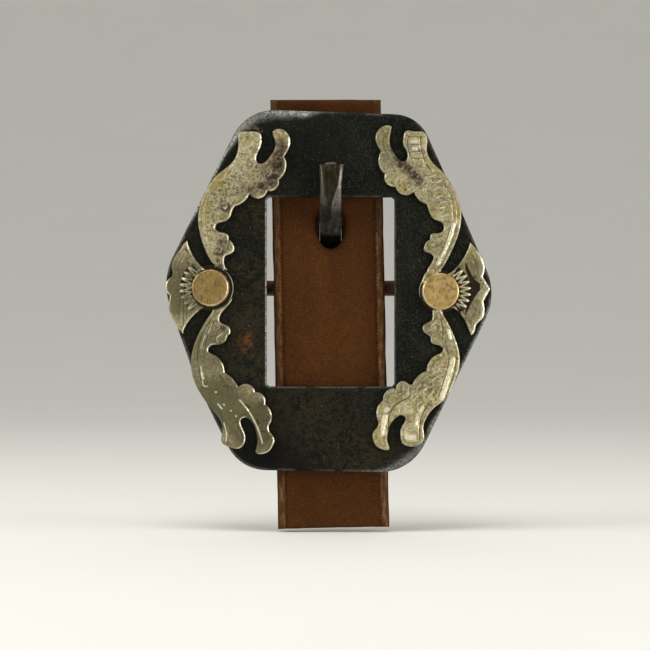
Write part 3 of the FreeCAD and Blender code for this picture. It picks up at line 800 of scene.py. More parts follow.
MOTTLE = {
    "left": areas("""
-9.2 21.2 1.5 1,  -9.6 18.7 1.5 1,  -11.6 17.5 1.2 0.8,  -13.8 16.6 0.9 0.6,
-11.2 20.6 1.6 0.45,  -18.3 14 1 0.8,  -18.2 8 1.5 0.9,  -19 5.8 1.3 0.9,  -19.5 4.3 1.1 0.9,
-8.5 24 0.9 0.6,  -23.7 0.8 1.4 0.9,  -18.9 -7.3 0.8 0.6,  -14.6 21.9 0.9 0.5,
-20.6 -9.6 1.6 0.35"""),
    "right": areas("""
13 21 1.1 0.8,  14.7 19.3 0.9 0.8,  17.2 19 1.6 0.35,  18.6 15.4 2.2 0.35,  17.8 -6.8 1.2 0.6,
18.5 -12 1.6 0.4,  16.5 -17.5 2.2 0.45,  24.2 3.8 1.4 0.35,  12 -18.5 1.2 0.3"""),
}
DARKENING = {
    "left": areas("""
-19.5 -20 6.5 0.92,  -21.5 -11 6 0.74,  -13 -24 5.8 1,  -26 0 6 0.88,  -17 14 5 0.2,
-9.8 20 2.4 0.5"""),
    "right": areas("""
25 2.8 3.4 0.7,  24 -3.5 3.2 0.56,  19 -9 4 0.35,  15.5 -16 3.5 0.45,  11 -18.5 2.5 0.3,
17.5 17 4 0.2,  19.5 6.5 4.5 0.38,  9.6 24.2 4.6 0.48"""),
}
# Areas of coarse bright and golden grain
GRAIN = {
    "left": areas("""
-18.9 6 2.2 0.55,  -23.9 1 1.8 0.5,  -12.2 19.6 2.4 0.4"""),
    "right": areas("""
18.4 -11.6 1.9 0.9,  17.7 -14.8 2 1,  16.6 -18 2 1,  14.8 -21.6 1.6 0.8,  13.4 -19.6 1.4 0.5,
18.4 -7.2 1.9 0.8,  19.6 8.8 1.4 0.5,  17.2 17.8 2 0.4,  11 -20.6 1.1 0.6"""),
}
# Yellowed areas
GILT = {
    "left": areas("""
-19.6 18.2 2 0.8,  -21.9 14.2 1.8 0.8,  -22.3 9.8 1.6 0.7,  -8.6 26.4 1 0.9,  -14 25.6 1.4 0.4,
-19.5 -8.6 1.6 0.6,  -14.6 -18.4 1.4 0.5,  -11 -26.9 1.2 0.6,  -27.4 0.2 0.9 0.8"""),
    "right": areas("""
12.6 16.3 1.5 1,  15.8 27.2 1.2 0.8,  17.3 22.4 1.1 0.9,  18.6 20.2 1.2 1,  22.2 13 1.1 0.9,
21.9 9.4 0.9 0.7,  17.5 -9.4 1 0.8,  10.9 -20.2 1.2 0.8,  8.9 -26.9 1.2 0.9,  18 -18.2 1.5 0.8,
19.6 -12.4 1.2 0.6,  24.2 5.9 1.2 0.7,  24 -6.4 1 0.7,  10.4 -23.4 0.6 0.7"""),
}
# Which way an edge faces to get a painted highlight along it: x and z, strength, width, and where,
# as x, z and reach (None is everywhere)
LIT_RIMS = {
    "left": [((0.85, -0.53), 1.0, 0.14, None), ((-1.0, -0.1), 0.8, 0.14, (-28.4, -0.4, 1.6)),
             ((-0.9, -0.4), 0.55, 0.12, (-27.8, -4.5, 3.0))],
    "right": [((-0.8, -0.6), 0.65, 0.10, None), ((0.98, -0.2), 0.62, 0.10, (20.5, -10.0, 19.0)),
              ((0.98, 0.2), 1.0, 0.26, (26.6, -0.2, 5.6)),
              ((0.9, -0.4), 0.8, 0.20, (25.6, -6.0, 2.6))],
}
# The right ornament's dark seam inside its lower scallops: the way these face, and where it runs
SEAM_FACING = (-0.8, 0.6)
SEAM_TOP_Z = -9.0
SEAM_END_Z = (-20.5, -19.0)
# Which side of the ring round the rivet keeps a painted highlight line
RING_LIT = {"left": (1.0, -0.05), "right": (-0.83, 0.55)}
# Corners of the sunk crescent outside the row of teeth, and its depth
CRESCENT = [(23.3, 4.6), (24.3, 2.4), (25.0, 1.3), (25.9, 0.6), (25.9, -0.5), (25.4, -1.1),
            (24.7, -2.1), (24.0, -3.5), (23.4, -4.7), (23.2, -4.2), (23.7, -2.6), (24.15, -0.7),
            (23.9, 1.4), (23.2, 3.2)]
CRESCENT_DEPTH = 0.20
TOOTH_DEG = 12.5
TEETH = 8
TOOTH_RADII = (3.45, 5.15)
# Depth of the teeth by angle from the fan's middle, in degrees
TOOTH_FORCE = {"left": ([-60, -40, -15, 10, 30, 55], [0.85, 0.95, 1.0, 0.95, 0.75, 0.6]),
               "right": ([-60, 60], [1.0, 1.0])}
FAN_SIDE = {"left": 180.0, "right": 0.0}
LEAF_HEIGHT = PLATE_FRONT - LEAF_FRONT
BOSS_HEIGHT = 0.5
RIVET_SEAT_R = 3.175
PITS = {"left": 210, "right": 70}


def rivet_centre(side):
    """x and z of a rivet."""
    low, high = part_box(side + "_rivet")
    return np.array([(low.x + high.x) / 2, (low.z + high.z) / 2]) / MM


def zigzag(side):
    """Points of the zigzag crest between rivet and fan."""
    centre = rivet_centre(side)
    line = []
    for half in range(2 * TEETH + 1):
        angle = math.radians(FAN_SIDE[side] + (half - TEETH) * TOOTH_DEG / 2)
        radius = TOOTH_RADII[half % 2]
        line.append(centre + radius * np.array([math.cos(angle), math.sin(angle)]))
    return np.array(line)


def polar(points, centre, heading_deg):
    """Radius, and angle away from the heading in degrees."""
    away = points - centre
    angle = np.degrees(np.arctan2(away[:, 1], away[:, 0])) - heading_deg
    return np.linalg.norm(away, axis=1), (angle + 180.0) % 360.0 - 180.0


class Ornament:
    """Heights and painted marks of one ornament, from the plate's front upwards."""

    def __init__(self, side):
        self.side = side
        self.centre = rivet_centre(side)
        self.union = [resample(loop, 0.14) for loop in flat_loops(side + "_ornament", PLATE_FRONT)]
        raised = flat_loops(side + "_ornament", LEAF_FRONT)
        self.raised = [loop for loop in raised if loop_area(loop) > 20.0]
        self.edge = tree_of(self.raised)
        self.outline = tree_of(self.union)
        self.zigzag = tree_of_points(curve_through(zigzag(side), 0.05) if side == "left" else
                                     self.straight(zigzag(side)))
        self.lines = [(kind, width, depth, tree_of_points(curve_through(points, 0.06)))
                      for kind, width, depth, points in CHASING[side]]
        self.cusps = self.cusp_cuts()
        self.curls = tree_of_points(np.concatenate([curve_through(points, 0.05)
                                                    for points in CURLS[side]]))
        self.pits = tree_of_points(self.pit_places())

    def pit_places(self):
        """Scattered pits: most of them in the left upper leaf, away from its outer border."""
        random = np.random.RandomState(7 if self.side == "left" else 8)
        low, high = self.union[0].min(axis=0), self.union[0].max(axis=0)
        spots = low + (high - low) * random.rand(PITS[self.side] * 12, 2)
        spots = spots[inside(spots, self.raised)]
        edge, way = towards(self.edge, spots)
        border = (way @ np.array((-0.9, 0.4)) > 0.2) & (edge < 1.5)
        upper = (spots[:, 1] > 2.0) & (spots[:, 1] < 22.5)
        crowd = 0.8 * noise(spots, 2.4, 5) + (1.3 if self.side == "left" else 0.3) * upper
        crowd = crowd - 3.0 * border
        return spots[np.argsort(-crowd, kind="stable")][:PITS[self.side]]

    def straight(self, corners):
        """Points close together on straight lines between corners."""
        rows = [start + (end - start) * t for start, end in zip(corners, corners[1:])
                for t in np.linspace(0.0, 1.0, 40)]
        return np.array(rows)

    def cusp_cuts(self):
        """Tree of short grooves that run in from the notches between scallops."""
        points = []
        for loop in self.raised:
            even = resample(loop, 0.5)
            ahead = np.roll(even, -1, axis=0) - even
            behind = np.roll(even, 1, axis=0) - even
            bend = (ahead / np.linalg.norm(ahead, axis=1)[:, None]
                    + behind / np.linalg.norm(behind, axis=1)[:, None])
            size = np.linalg.norm(bend, axis=1)
            for place, inward, amount in zip(even, bend, size):
                step = -inward / (amount + 1e-9)
                if amount > 0.55 and inside(np.array([place + 0.4 * step]), self.raised)[0]:
                    points += [place + step * t for t in np.linspace(0.0, 1.5, 16)]
        return tree_of_points(points)

    def painted(self, points, areas):
        """Strongest of some soft round areas at each point."""
        share = np.zeros(len(points))
        for x, z, size, force in areas[self.side]:
            away = np.linalg.norm(points - (x, z), axis=1) / size
            share = np.maximum(share, force * smoothstep(1.45, 0.45, away))
        return share

    def rims(self, points, edge, way):
        """Painted highlights along the edges that face the given ways, broken here and there."""
        share = 0.06 * bell(edge - 0.06, 0.08)
        for direction, strength, width, spot in LIT_RIMS[self.side]:
            part = strength * smoothstep(0.15, 0.75, way @ np.array(direction))
            if spot:
                part *= smoothstep(1.3, 0.8, np.linalg.norm(points - spot[:2], axis=1) / spot[2])
            share = np.maximum(share, part * bell(edge - 0.6 * width, width))
        return share * smoothstep(-0.95, 0.0, noise(points, 1.7, 14, 2))

    def sheet(self, points, edge, way):
        """Height, dark and bright marks of the plain leaf with its eased rim; edges that get no
        highlight get painted shade.
        """
        rim = 0.32 * (1.0 - np.sqrt(np.clip(1.0 - (1.0 - np.clip(edge / 0.32, 0, 1)) ** 2, 0, 1)))
        crown = 0.13 * np.exp(-edge / 0.9)
        moat = 0.08 * bell(edge - 0.62, 0.20) * smoothstep(-0.35, 0.35, noise(points, 4.0, 11))
        rolling = 0.045 * noise(points, 2.6, 12, 2) + 0.022 * noise(points, 0.6, 13, 2)
        leaf = LEAF_HEIGHT - 0.07 - rim - crown - moat + rolling
        polish_and_highlight = self.rims(points, edge, way)
        # Painted shade along the leaf's edges that get no highlight
        unlit_edge_shade = 0.72 * np.exp(-edge / 0.20) * (1.0 - smoothstep(0.08, 0.35, polish_and_highlight))
        grime_and_shade = np.maximum(0.35 * moat / 0.08, unlit_edge_shade)
        if self.side == "right":
            seam = smoothstep(0.1, 0.6, way @ np.array(SEAM_FACING))
            seam *= (points[:, 1] < SEAM_TOP_Z) * smoothstep(*SEAM_END_Z, points[:, 1])
            grime_and_shade = np.maximum(grime_and_shade, 0.75 * bell(edge - 0.80, 0.11) * seam)
        return leaf, grime_and_shade, polish_and_highlight

    def chase(self, points, edge, leaf, grime_and_shade, polish_and_highlight):
        """Adds the chased lines, curls, notches, pits and mottling."""
        for kind, width, depth, tree in self.lines:
            gap = reach(tree, points)
            near = np.exp(-(gap / width) ** 6) if kind == "panel" else bell(gap, width)
            if kind in ("ridge", "panel"):
                leaf += depth * near
                # Crests and facets get a painted highlight
                polish_and_highlight = np.maximum(polish_and_highlight, 0.95 * near)
                grime_and_shade *= 1.0 - near
            else:
                leaf -= depth * near
                grime_and_shade = np.maximum(grime_and_shade, (0.95 if kind == "cut" else 0.50) * near)
        groove = bell(reach(self.curls, points), CURL_WIDTH)
        # Painted highlight on the lip beside each curl
        lip = bell(reach(self.curls, points - CURL_LIP), CURL_WIDTH) * (1.0 - groove)
        cusp = bell(reach(self.cusps, points), 0.15) * smoothstep(0.1, 0.4, edge)
        pit = bell(reach(self.pits, points), 0.17) * smoothstep(0.3, 0.6, edge)
        grain = smoothstep(-0.10, 0.45, noise(points, 0.55, 15, 2))
        mottle = self.painted(points, MOTTLE) * grain
        leaf += 0.05 * lip
        for mark, depth, black in ((groove, 0.08, 0.75), (cusp, 0.10, 0.45), (pit, 0.07, 1.0),
                                   (mottle, 0.05, 0.85)):
            leaf -= depth * mark
            grime_and_shade = np.maximum(grime_and_shade, black * mark)
        return leaf, grime_and_shade, np.maximum(polish_and_highlight, 0.60 * lip)

    def field(self, points):
        """Height above the plate and the painted marks by name."""
        over = inside(points, self.raised)
        edge, way = towards(self.edge, points)
        way = np.where(over[:, None], way, -way)
        radius, angle = polar(points, self.centre, FAN_SIDE[self.side])
        over |= radius < RIVET_SEAT_R
        leaf, grime_and_shade, polish_and_highlight = self.chase(points, edge, *self.sheet(points, edge, way))
        leaf, grime_and_shade, polish_and_highlight = self.fan(points, radius, angle, leaf, grime_and_shade, polish_and_highlight)
        leaf = np.where(radius < RIVET_SEAT_R, LEAF_HEIGHT, leaf)
        lip = reach(self.outline, points)
        boss = BOSS_HEIGHT - 0.10 + 0.10 * bell(lip - 0.12, 0.16) - 0.10 * (lip < 0.03)
        share = smoothstep(-0.07, 0.07, np.where(over, edge, -edge))
        outward = (points - self.centre) / (radius[:, None] + 1e-9)
        # Painted highlight line on the lit side of the ring round the rivet
        lit = smoothstep(0.55, 0.95, outward @ np.array(RING_LIT[self.side]))
        grime_and_shade = np.maximum(grime_and_shade * share, 0.97 * (1.0 - share))
        polish_and_highlight = np.maximum(polish_and_highlight * share, 0.85 * lit * (1.0 - share) * bell(lip - 0.05, 0.07))
        brown = np.maximum(self.painted(points, TARNISH), 0.8 * (1.0 - share))
        marks = {"grime_and_shade": grime_and_shade * (1.0 - 0.8 * polish_and_highlight), "polish_and_highlight": polish_and_highlight * (1.0 - 0.55 * brown),
                 "tarnish": brown}
        for mark, spots in (("dull", DARKENING), ("gilt", GILT), ("grain", GRAIN)):
            marks[mark] = self.painted(points, spots)
        return boss + (leaf - boss) * share, marks

    def fan(self, points, radius, angle, leaf, grime_and_shade, polish_and_highlight):
        """Engraved row of teeth beside the rivet, and the sunk crescent beyond it."""
        crest = reach(self.zigzag, points)
        spread = np.abs(angle) < TEETH * TOOTH_DEG / 2 + 4.0
        band = (spread * smoothstep(TOOTH_RADII[0] - 0.35, TOOTH_RADII[0] - 0.15, radius)
                * (1.0 - smoothstep(TOOTH_RADII[1] + 0.05, TOOTH_RADII[1] + 0.25, radius)))
        force = np.interp(angle, *TOOTH_FORCE[self.side])
        if self.side == "left":
            force = force * smoothstep(-1.3, 0.1, noise(points, 0.9, 16))
        sunk = band * smoothstep(0.10, 0.22, crest)
        leaf = leaf - 0.22 * force * sunk
        grime_and_shade = np.maximum(grime_and_shade, 0.99 * force * sunk)
        head = smoothstep(TOOTH_RADII[1] - 0.75, TOOTH_RADII[1] - 0.15, radius)
        polish_and_highlight = np.maximum(polish_and_highlight, (0.35 + 0.6 * head) * force * band * bell(crest, 0.11))
        if self.side == "right":
            corners = [np.array(CRESCENT)]
            away = reach(tree_of(corners), points)
            deep = np.where(inside(points, corners), smoothstep(-0.10, 0.12, away),
                            smoothstep(-0.10, 0.12, -away))
            leaf = leaf - CRESCENT_DEPTH * deep
            grime_and_shade = np.maximum(grime_and_shade, 0.985 * deep)
        return leaf, grime_and_shade, polish_and_highlight


def build_ornament(side):
    """Chased ornament as one closed sheet."""
    ornament = Ornament(side)

    def front(points, distance):
        return PLATE_FRONT - ornament.field(points)[0]

    def back(points, distance):
        return np.full(len(points), PLATE_FRONT)

    mesh = relief(ornament.union, front, back, 0.13, (0.05, 0.12, 0.21, 0.32), wall_rows=4)
    spots = places(mesh)
    marks = ornament.field(spots[:, [0, 2]])[1]
    depth = spots[:, 1] - (PLATE_FRONT - BOSS_HEIGHT)
    # The outer walls get painted shade, and no highlight
    wall = smoothstep(0.0, 0.40, depth)
    marks["grime_and_shade"] = np.maximum(marks["grime_and_shade"], 0.85 * wall)
    marks["polish_and_highlight"] *= 1.0 - smoothstep(-0.1, 0.3, depth)
    put(mesh, side + "_ornament_relief", [side + "_ornament"], "buckle", "nickel_silver", marks)
    return ornament


# ---------------------------------------------------------------- plate

# Rust, olive stains, where the outer edge is worn broad, and the blackest parts (painted shade at
# the bottom edge and a dark patch higher up), as areas
RUST = areas("-14.75 -9 1.15 1, -15.1 -10.3 0.8 1, -13.9 -9.9 0.6 1")
STAINS = areas("""
-14 -6 6 1,  -13.6 -14 5.5 1,  -4 -24 8 1,  5 -29 6 1,  -14.5 2 4 1,  -11.5 12 3 1""")
WORN = areas("""
-17.6 26.6 2 1,  -16.2 28.4 2.8 1,  -14.4 29.7 3.4 1,  -11.4 30.7 3.4 1,  -8 30.8 2.8 1,
-5 30.8 2 1,  14.5 -31 4 1,  19.5 -25 2 1""")
SOOT_AND_SHADE_AREAS = areas("-11.5 -29.5 6 0.92, -6.5 -31 3.5 0.80, -4 25 9 0.46")
# Brown crust on the plate above a leaf, as points of a line
CRUST = [(-16.0, 27.5), (-15.0, 27.75), (-14.0, 27.5), (-13.0, 27.6), (-12.1, 27.1)]
# Middle and radius of a faint arc worn into the plate above the left ornament
TRACE_CENTRE, TRACE_R = (-9.9, 27.4), 3.1


def build_plate(ornaments):
    """Face plate with a hammered face, edges worn by handling and painted shade by the ornaments
    and the bottom edge.
    """
    loops = [resample(loop, 0.22) for loop in flat_loops("frame_plate", PLATE_BACK)]
    outer, window = tree_of(loops[:1]), tree_of(loops[1:2])
    crust_line = tree_of_points(curve_through(CRUST, 0.08))
    neighbours = tree_of([loop for ornament in ornaments for loop in ornament.union[:1]])

    def front(points, distance):
        to_outer = reach(outer, points)
        to_window = reach(window, points)
        worn = spots_at(points, WORN)
        width = 0.55 + 1.1 * worn + 0.12 * noise(points, 3.0, 21)
        fall = np.clip(1.0 - to_outer / width, 0.0, 1.0)
        drop = (0.30 + 0.35 * worn) * fall ** 1.6
        rim = np.clip(1.0 - to_window / 0.32, 0.0, 1.0)
        drop += 0.20 * rim ** 1.6
        hammered = 0.030 * noise(points, 5.0, 22, 2) + 0.010 * noise(points, 0.9, 23, 2)
        arc = np.abs(np.linalg.norm(points - TRACE_CENTRE, axis=1) - TRACE_R)
        trace = 0.05 * bell(arc, 0.35) * smoothstep(28.4, 29.6, points[:, 1])
        return PLATE_FRONT + drop + 0.03 + hammered * smoothstep(0.0, 1.0, distance) - trace

    def back(points, distance):
        fall = np.clip(1.0 - distance / 0.35, 0.0, 1.0)
        ripple = 0.02 * np.abs(noise(points, 4.0, 24, 2))
        return PLATE_BACK - 0.16 * fall ** 1.6 - ripple

    mesh = relief(loops, front, back, 0.34, (0.09, 0.20, 0.34, 0.55, 0.85, 1.2), wall_rows=4,
                  back_spacing=0.6)
    spots = places(mesh)
    flat = spots[:, [0, 2]]
    to_outer, to_window = reach(outer, flat), reach(window, flat)
    front_side = smoothstep(-0.9, -1.5, spots[:, 1] - PLATE_BACK)
    edge_noise = smoothstep(-0.75, 0.25, noise(flat, 2.2, 25, 2))
    handled = spots_at(flat, WORN)
    x, z = flat.T
    rubbed = (1.00 * smoothstep(4.0, 10.0, x) * smoothstep(0.0, -8.0, z)
              + 0.70 * smoothstep(-8.0, -14.0, x) * smoothstep(4.0, 14.0, z)
              + 0.25 * smoothstep(-8.0, -14.0, x) * smoothstep(0.0, -8.0, z))
    edge_noise += (1.0 - edge_noise) * np.maximum(0.75 * handled, 0.5 * np.minimum(rubbed, 1.0))
    wear_and_highlight = bell(to_outer - 0.12 - 0.55 * handled, 0.22 + 1.00 * handled)
    wear_and_highlight *= np.minimum(1.0, 0.28 + rubbed + 0.95 * handled) * edge_noise
    # Worn rim of the window, with a painted highlight on its left edge
    lit_left_rim = smoothstep(-10.2, -10.9, x)
    rim_wear = bell(to_window - 0.07, 0.13) * (0.35 + 0.65 * lit_left_rim)
    wear_and_highlight = np.maximum(wear_and_highlight, rim_wear * np.maximum(edge_noise, lit_left_rim)) * front_side
    # Painted shade on the plate next to the ornaments, partly patina in the crevice
    near = reach(neighbours, flat)
    soot_and_shade = 0.75 * np.exp(-near / 0.30) * front_side * (1.0 - 0.6 * wear_and_highlight)
    behind = 1.0 - front_side
    patchy = smoothstep(-0.1, 0.7, noise(flat, 8.0, 26, 3))
    rust = np.maximum(spots_at(flat, RUST), (0.10 + 0.65 * patchy) * behind)
    stain = np.maximum(spots_at(flat, STAINS), (0.8 - 0.5 * patchy) * behind)
    crust = bell(reach(crust_line, flat), 0.26) * front_side
    # Painted shade along the bottom edge, and a dark patch higher up
    black = spots_at(flat, SOOT_AND_SHADE_AREAS) * front_side * (1.0 - wear_and_highlight)
    soot_and_shade = np.maximum(soot_and_shade * (1.0 - crust), black)
    put(mesh, "face_plate", ["frame_plate"], "buckle", "blackened_steel",
        {"wear_and_highlight": wear_and_highlight, "soot_and_shade": soot_and_shade, "rust": rust, "stain": stain, "crust": crust})


# ---------------------------------------------------------------- strap

STRAP_HALF_WIDTH = 9.75
STRAP_OFFSET = -0.25
STRAP_BOTTOM = -42.0
STRAP_TOP = 32.95
STRAP_TILT = math.radians(1.1)
# Half width and ends of the slot at the front and at the back, and how drawn out its low end is
SLOT_FRONT = (2.28, 6.85, 13.9)
SLOT_BACK = (1.90, 5.0, 13.3)
SLOT_DRAWN = 1.35, 1.0
CREASE = 1.55


def tilt(points):
    """Turns upright x, z points to the strap's lean."""
    x, z = points.T
    return np.stack([x * math.cos(STRAP_TILT) - z * math.sin(STRAP_TILT),
                     x * math.sin(STRAP_TILT) + z * math.cos(STRAP_TILT)], axis=1)


def untilt(points):
    """Turns x, z points on the strap upright."""
    x, z = points.T
    return np.stack([x * math.cos(STRAP_TILT) + z * math.sin(STRAP_TILT),
                     -x * math.sin(STRAP_TILT) + z * math.cos(STRAP_TILT)], axis=1)


def strap_outline():
    """Straight cut edges with slightly soft corners, a little uneven along the sides."""
    left, right = STRAP_OFFSET - STRAP_HALF_WIDTH, STRAP_OFFSET + STRAP_HALF_WIDTH
    tops = [(STRAP_TOP - x * math.sin(STRAP_TILT)) / math.cos(STRAP_TILT) for x in (left, right)]
    corners = np.array([(left, STRAP_BOTTOM), (right, STRAP_BOTTOM), (right, tops[1]),
                        (left, tops[0])])
    loop = resample(corners, 0.30)
    inward = 0.05 + 0.05 * noise(loop, 3.5, 31, 2)
    centre = corners.mean(axis=0)
    size = np.array([STRAP_HALF_WIDTH, (STRAP_TOP - STRAP_BOTTOM) / 2])
    return tilt(centre + (loop - centre) * (1.0 - inward[:, None] / size))


def slot_outline(size, drawn):
    """Slot with round ends between two heights, drawn out to a blunt point at the low end."""
    r, low, high = size
    count = 26
    top = [(r * math.cos(a), high - r + r * math.sin(a)) for a in np.linspace(0, math.pi, count)]
    bottom = [(r * math.cos(a), low + drawn * (r + r * math.sin(a)))
              for a in np.linspace(math.pi, 2 * math.pi, count)]
    sides = 10
    left = [(-r, z) for z in np.linspace(high - r, low + drawn * r, sides)[1:-1]]
    right = [(r, z) for z in np.linspace(low + drawn * r, high - r, sides)[1:-1]]
    return np.array(top + left + bottom + right)


def build_strap():
    """Leather strap with creased borders, rounded edges, a worn slot with painted shade inside and
    a painted shadow of the plate at the top.
    """
    outer = strap_outline()
    slots = [slot_outline(*pair) for pair in zip((SLOT_FRONT, SLOT_BACK), SLOT_DRAWN)]
    outer_tree = tree_of([outer])
    slot_tree = tree_of([slots[0]])

    def borders(points):
        """Distance from the long edges, and from the cut ends."""
        x, z = untilt(points).T
        return (STRAP_HALF_WIDTH - np.abs(x - STRAP_OFFSET),
                np.minimum(z - STRAP_BOTTOM, STRAP_TOP - points[:, 1]))

    def front(points, distance):
        side, _ = borders(points)
        to_outer = reach(outer_tree, points)
        to_slot = reach(slot_tree, points)
        fall = np.clip(1.0 - to_outer / 0.75, 0.0, 1.0)
        drop = 0.62 * (1.0 - np.sqrt(np.clip(1.0 - fall ** 2, 0.0, 1.0)))
        drop += 0.14 * bell(side - CREASE, 0.20)
        drop += 0.05 * smoothstep(CREASE + 0.3, CREASE - 0.2, side)
        mouth = np.clip(1.0 - to_slot / 0.9, 0.0, 1.0)
        drop += 0.34 * mouth ** 2
        ripple = 0.045 * noise(points, 7.0, 32, 2) + 0.016 * noise(points, 0.9, 33, 2)
        return STRAP_FRONT + 0.07 + drop + ripple * smoothstep(0.0, 0.8, distance)

    def back(points, distance):
        fall = np.clip(1.0 - distance / 0.6, 0.0, 1.0)
        drop = 0.45 * (1.0 - np.sqrt(np.clip(1.0 - fall ** 2, 0.0, 1.0)))
        fibres = 0.05 * np.abs(noise(points, 1.2, 34, 3))
        return STRAP_BACK - 0.02 - drop - fibres

    def wall(rows):
        """Wavy cut through the leather: the outer edges wave inwards and the slot's outwards."""
        wave = 0.035 * noise(rows, 0.8, 35, 2)
        middle = rows.mean(axis=0)
        away = rows[:, [0, 2]] - middle[[0, 2]]
        away /= np.linalg.norm(away, axis=1)[:, None] + 1e-9
        slot = np.ptp(rows[:, 0]) < STRAP_HALF_WIDTH
        rows[:, [0, 2]] += (np.abs(wave) * (1.0 if slot else -1.0))[:, None] * away
        return rows

    mesh = relief([outer, slots[0]], front, back, 0.36, (0.10, 0.22, 0.38, 0.58), wall_rows=6,
                  back_loops=[outer, slots[1]], back_spacing=0.5, wall=wall)
    spots = places(mesh)
    flat = spots[:, [0, 2]]
    side, end = borders(flat)
    to_slot = reach(slot_tree, flat)
    behind = smoothstep(STRAP_BACK - 0.8, STRAP_BACK - 0.1, spots[:, 1])
    facing = 1.0 - smoothstep(STRAP_FRONT + 0.5, STRAP_FRONT + 1.2, spots[:, 1])
    cut_end = 1.0 - smoothstep(0.0, 0.25, end)
    x, z = flat.T
    rubbed = np.where(x > 0, 0.45 + 0.40 * smoothstep(2.0, -10.0, z),
                      0.35 + 0.45 * smoothstep(-15.0, -28.0, z))
    burnish = smoothstep(CREASE, CREASE - 0.35, side) * smoothstep(0.15, 0.45, side) * rubbed
    burnish = np.maximum(burnish, 0.95 * bell(side - CREASE + 0.30, 0.15)
                         * np.where(x > 0, 1.0, 0.6))
    burnish *= facing * smoothstep(-0.9, 0.2, noise(flat * (1.0, 0.2), 1.1, 36, 2))
    crease = 0.60 * bell(side - CREASE, 0.14) * facing
    edge_dark = 0.65 * (1.0 - smoothstep(0.05, 0.32, side)) * (1.0 - behind)
    # Darker leather round the slot's mouth, and painted shade on the slot's inner walls
    mouth = np.maximum(0.85 * np.exp(-to_slot / 0.55) * facing,
                       (to_slot < 2.0) * (1.0 - facing) * (1.0 - 0.7 * behind))
    # Painted shadow of the plate across the top of the strap
    above = 0.25 * smoothstep(28.5, 30.5, z) * facing
    grime_and_shade = np.maximum.reduce([crease, edge_dark, mouth, above,
                             0.5 * cut_end * (1.0 - 0.5 * behind)])
    put(mesh, "leather_strap", ["strap"], "strap", "strap_leather",
        {"grime_and_shade": grime_and_shade, "burnish": burnish, "flesh": behind})


# ---------------------------------------------------------------- tongue

FACET_BOTTOM_Z = 11.8
FACET_TOP_Z = 21.6
TONGUE_TIP_Z = 21.4
# Half width of the filed flat up the tongue, left and right of its middle line
FACET_Z = [11.8, 13.6, 15.0, 16.2, 17.6, 20.0, 21.6]
FACET_LEFT = [0.05, 0.30, 0.62, 1.05, 1.24, 1.48, 1.66]
FACET_RIGHT = [0.05, 0.18, 0.46, 0.84, 1.36, 1.50, 1.58]
FACET_MIDDLE = -0.15
SHOULDER_DROP = 0.34
# Height below which the tongue is painted black as shade in the slot
SHADED_ROOT_Z = (10.1, 8.9)
SIDE_FALL = 0.42
# Most half width up the tongue at rest: it is waisted where it works in the slot, since the
# leaning strap's slot moves sideways as it is drawn
FLANK_Z = [2.3, 2.95, 5.8, 6.6, 10.2, 10.3]
FLANK = [2.5, 1.665, 1.665, 1.865, 1.865, 9.0]


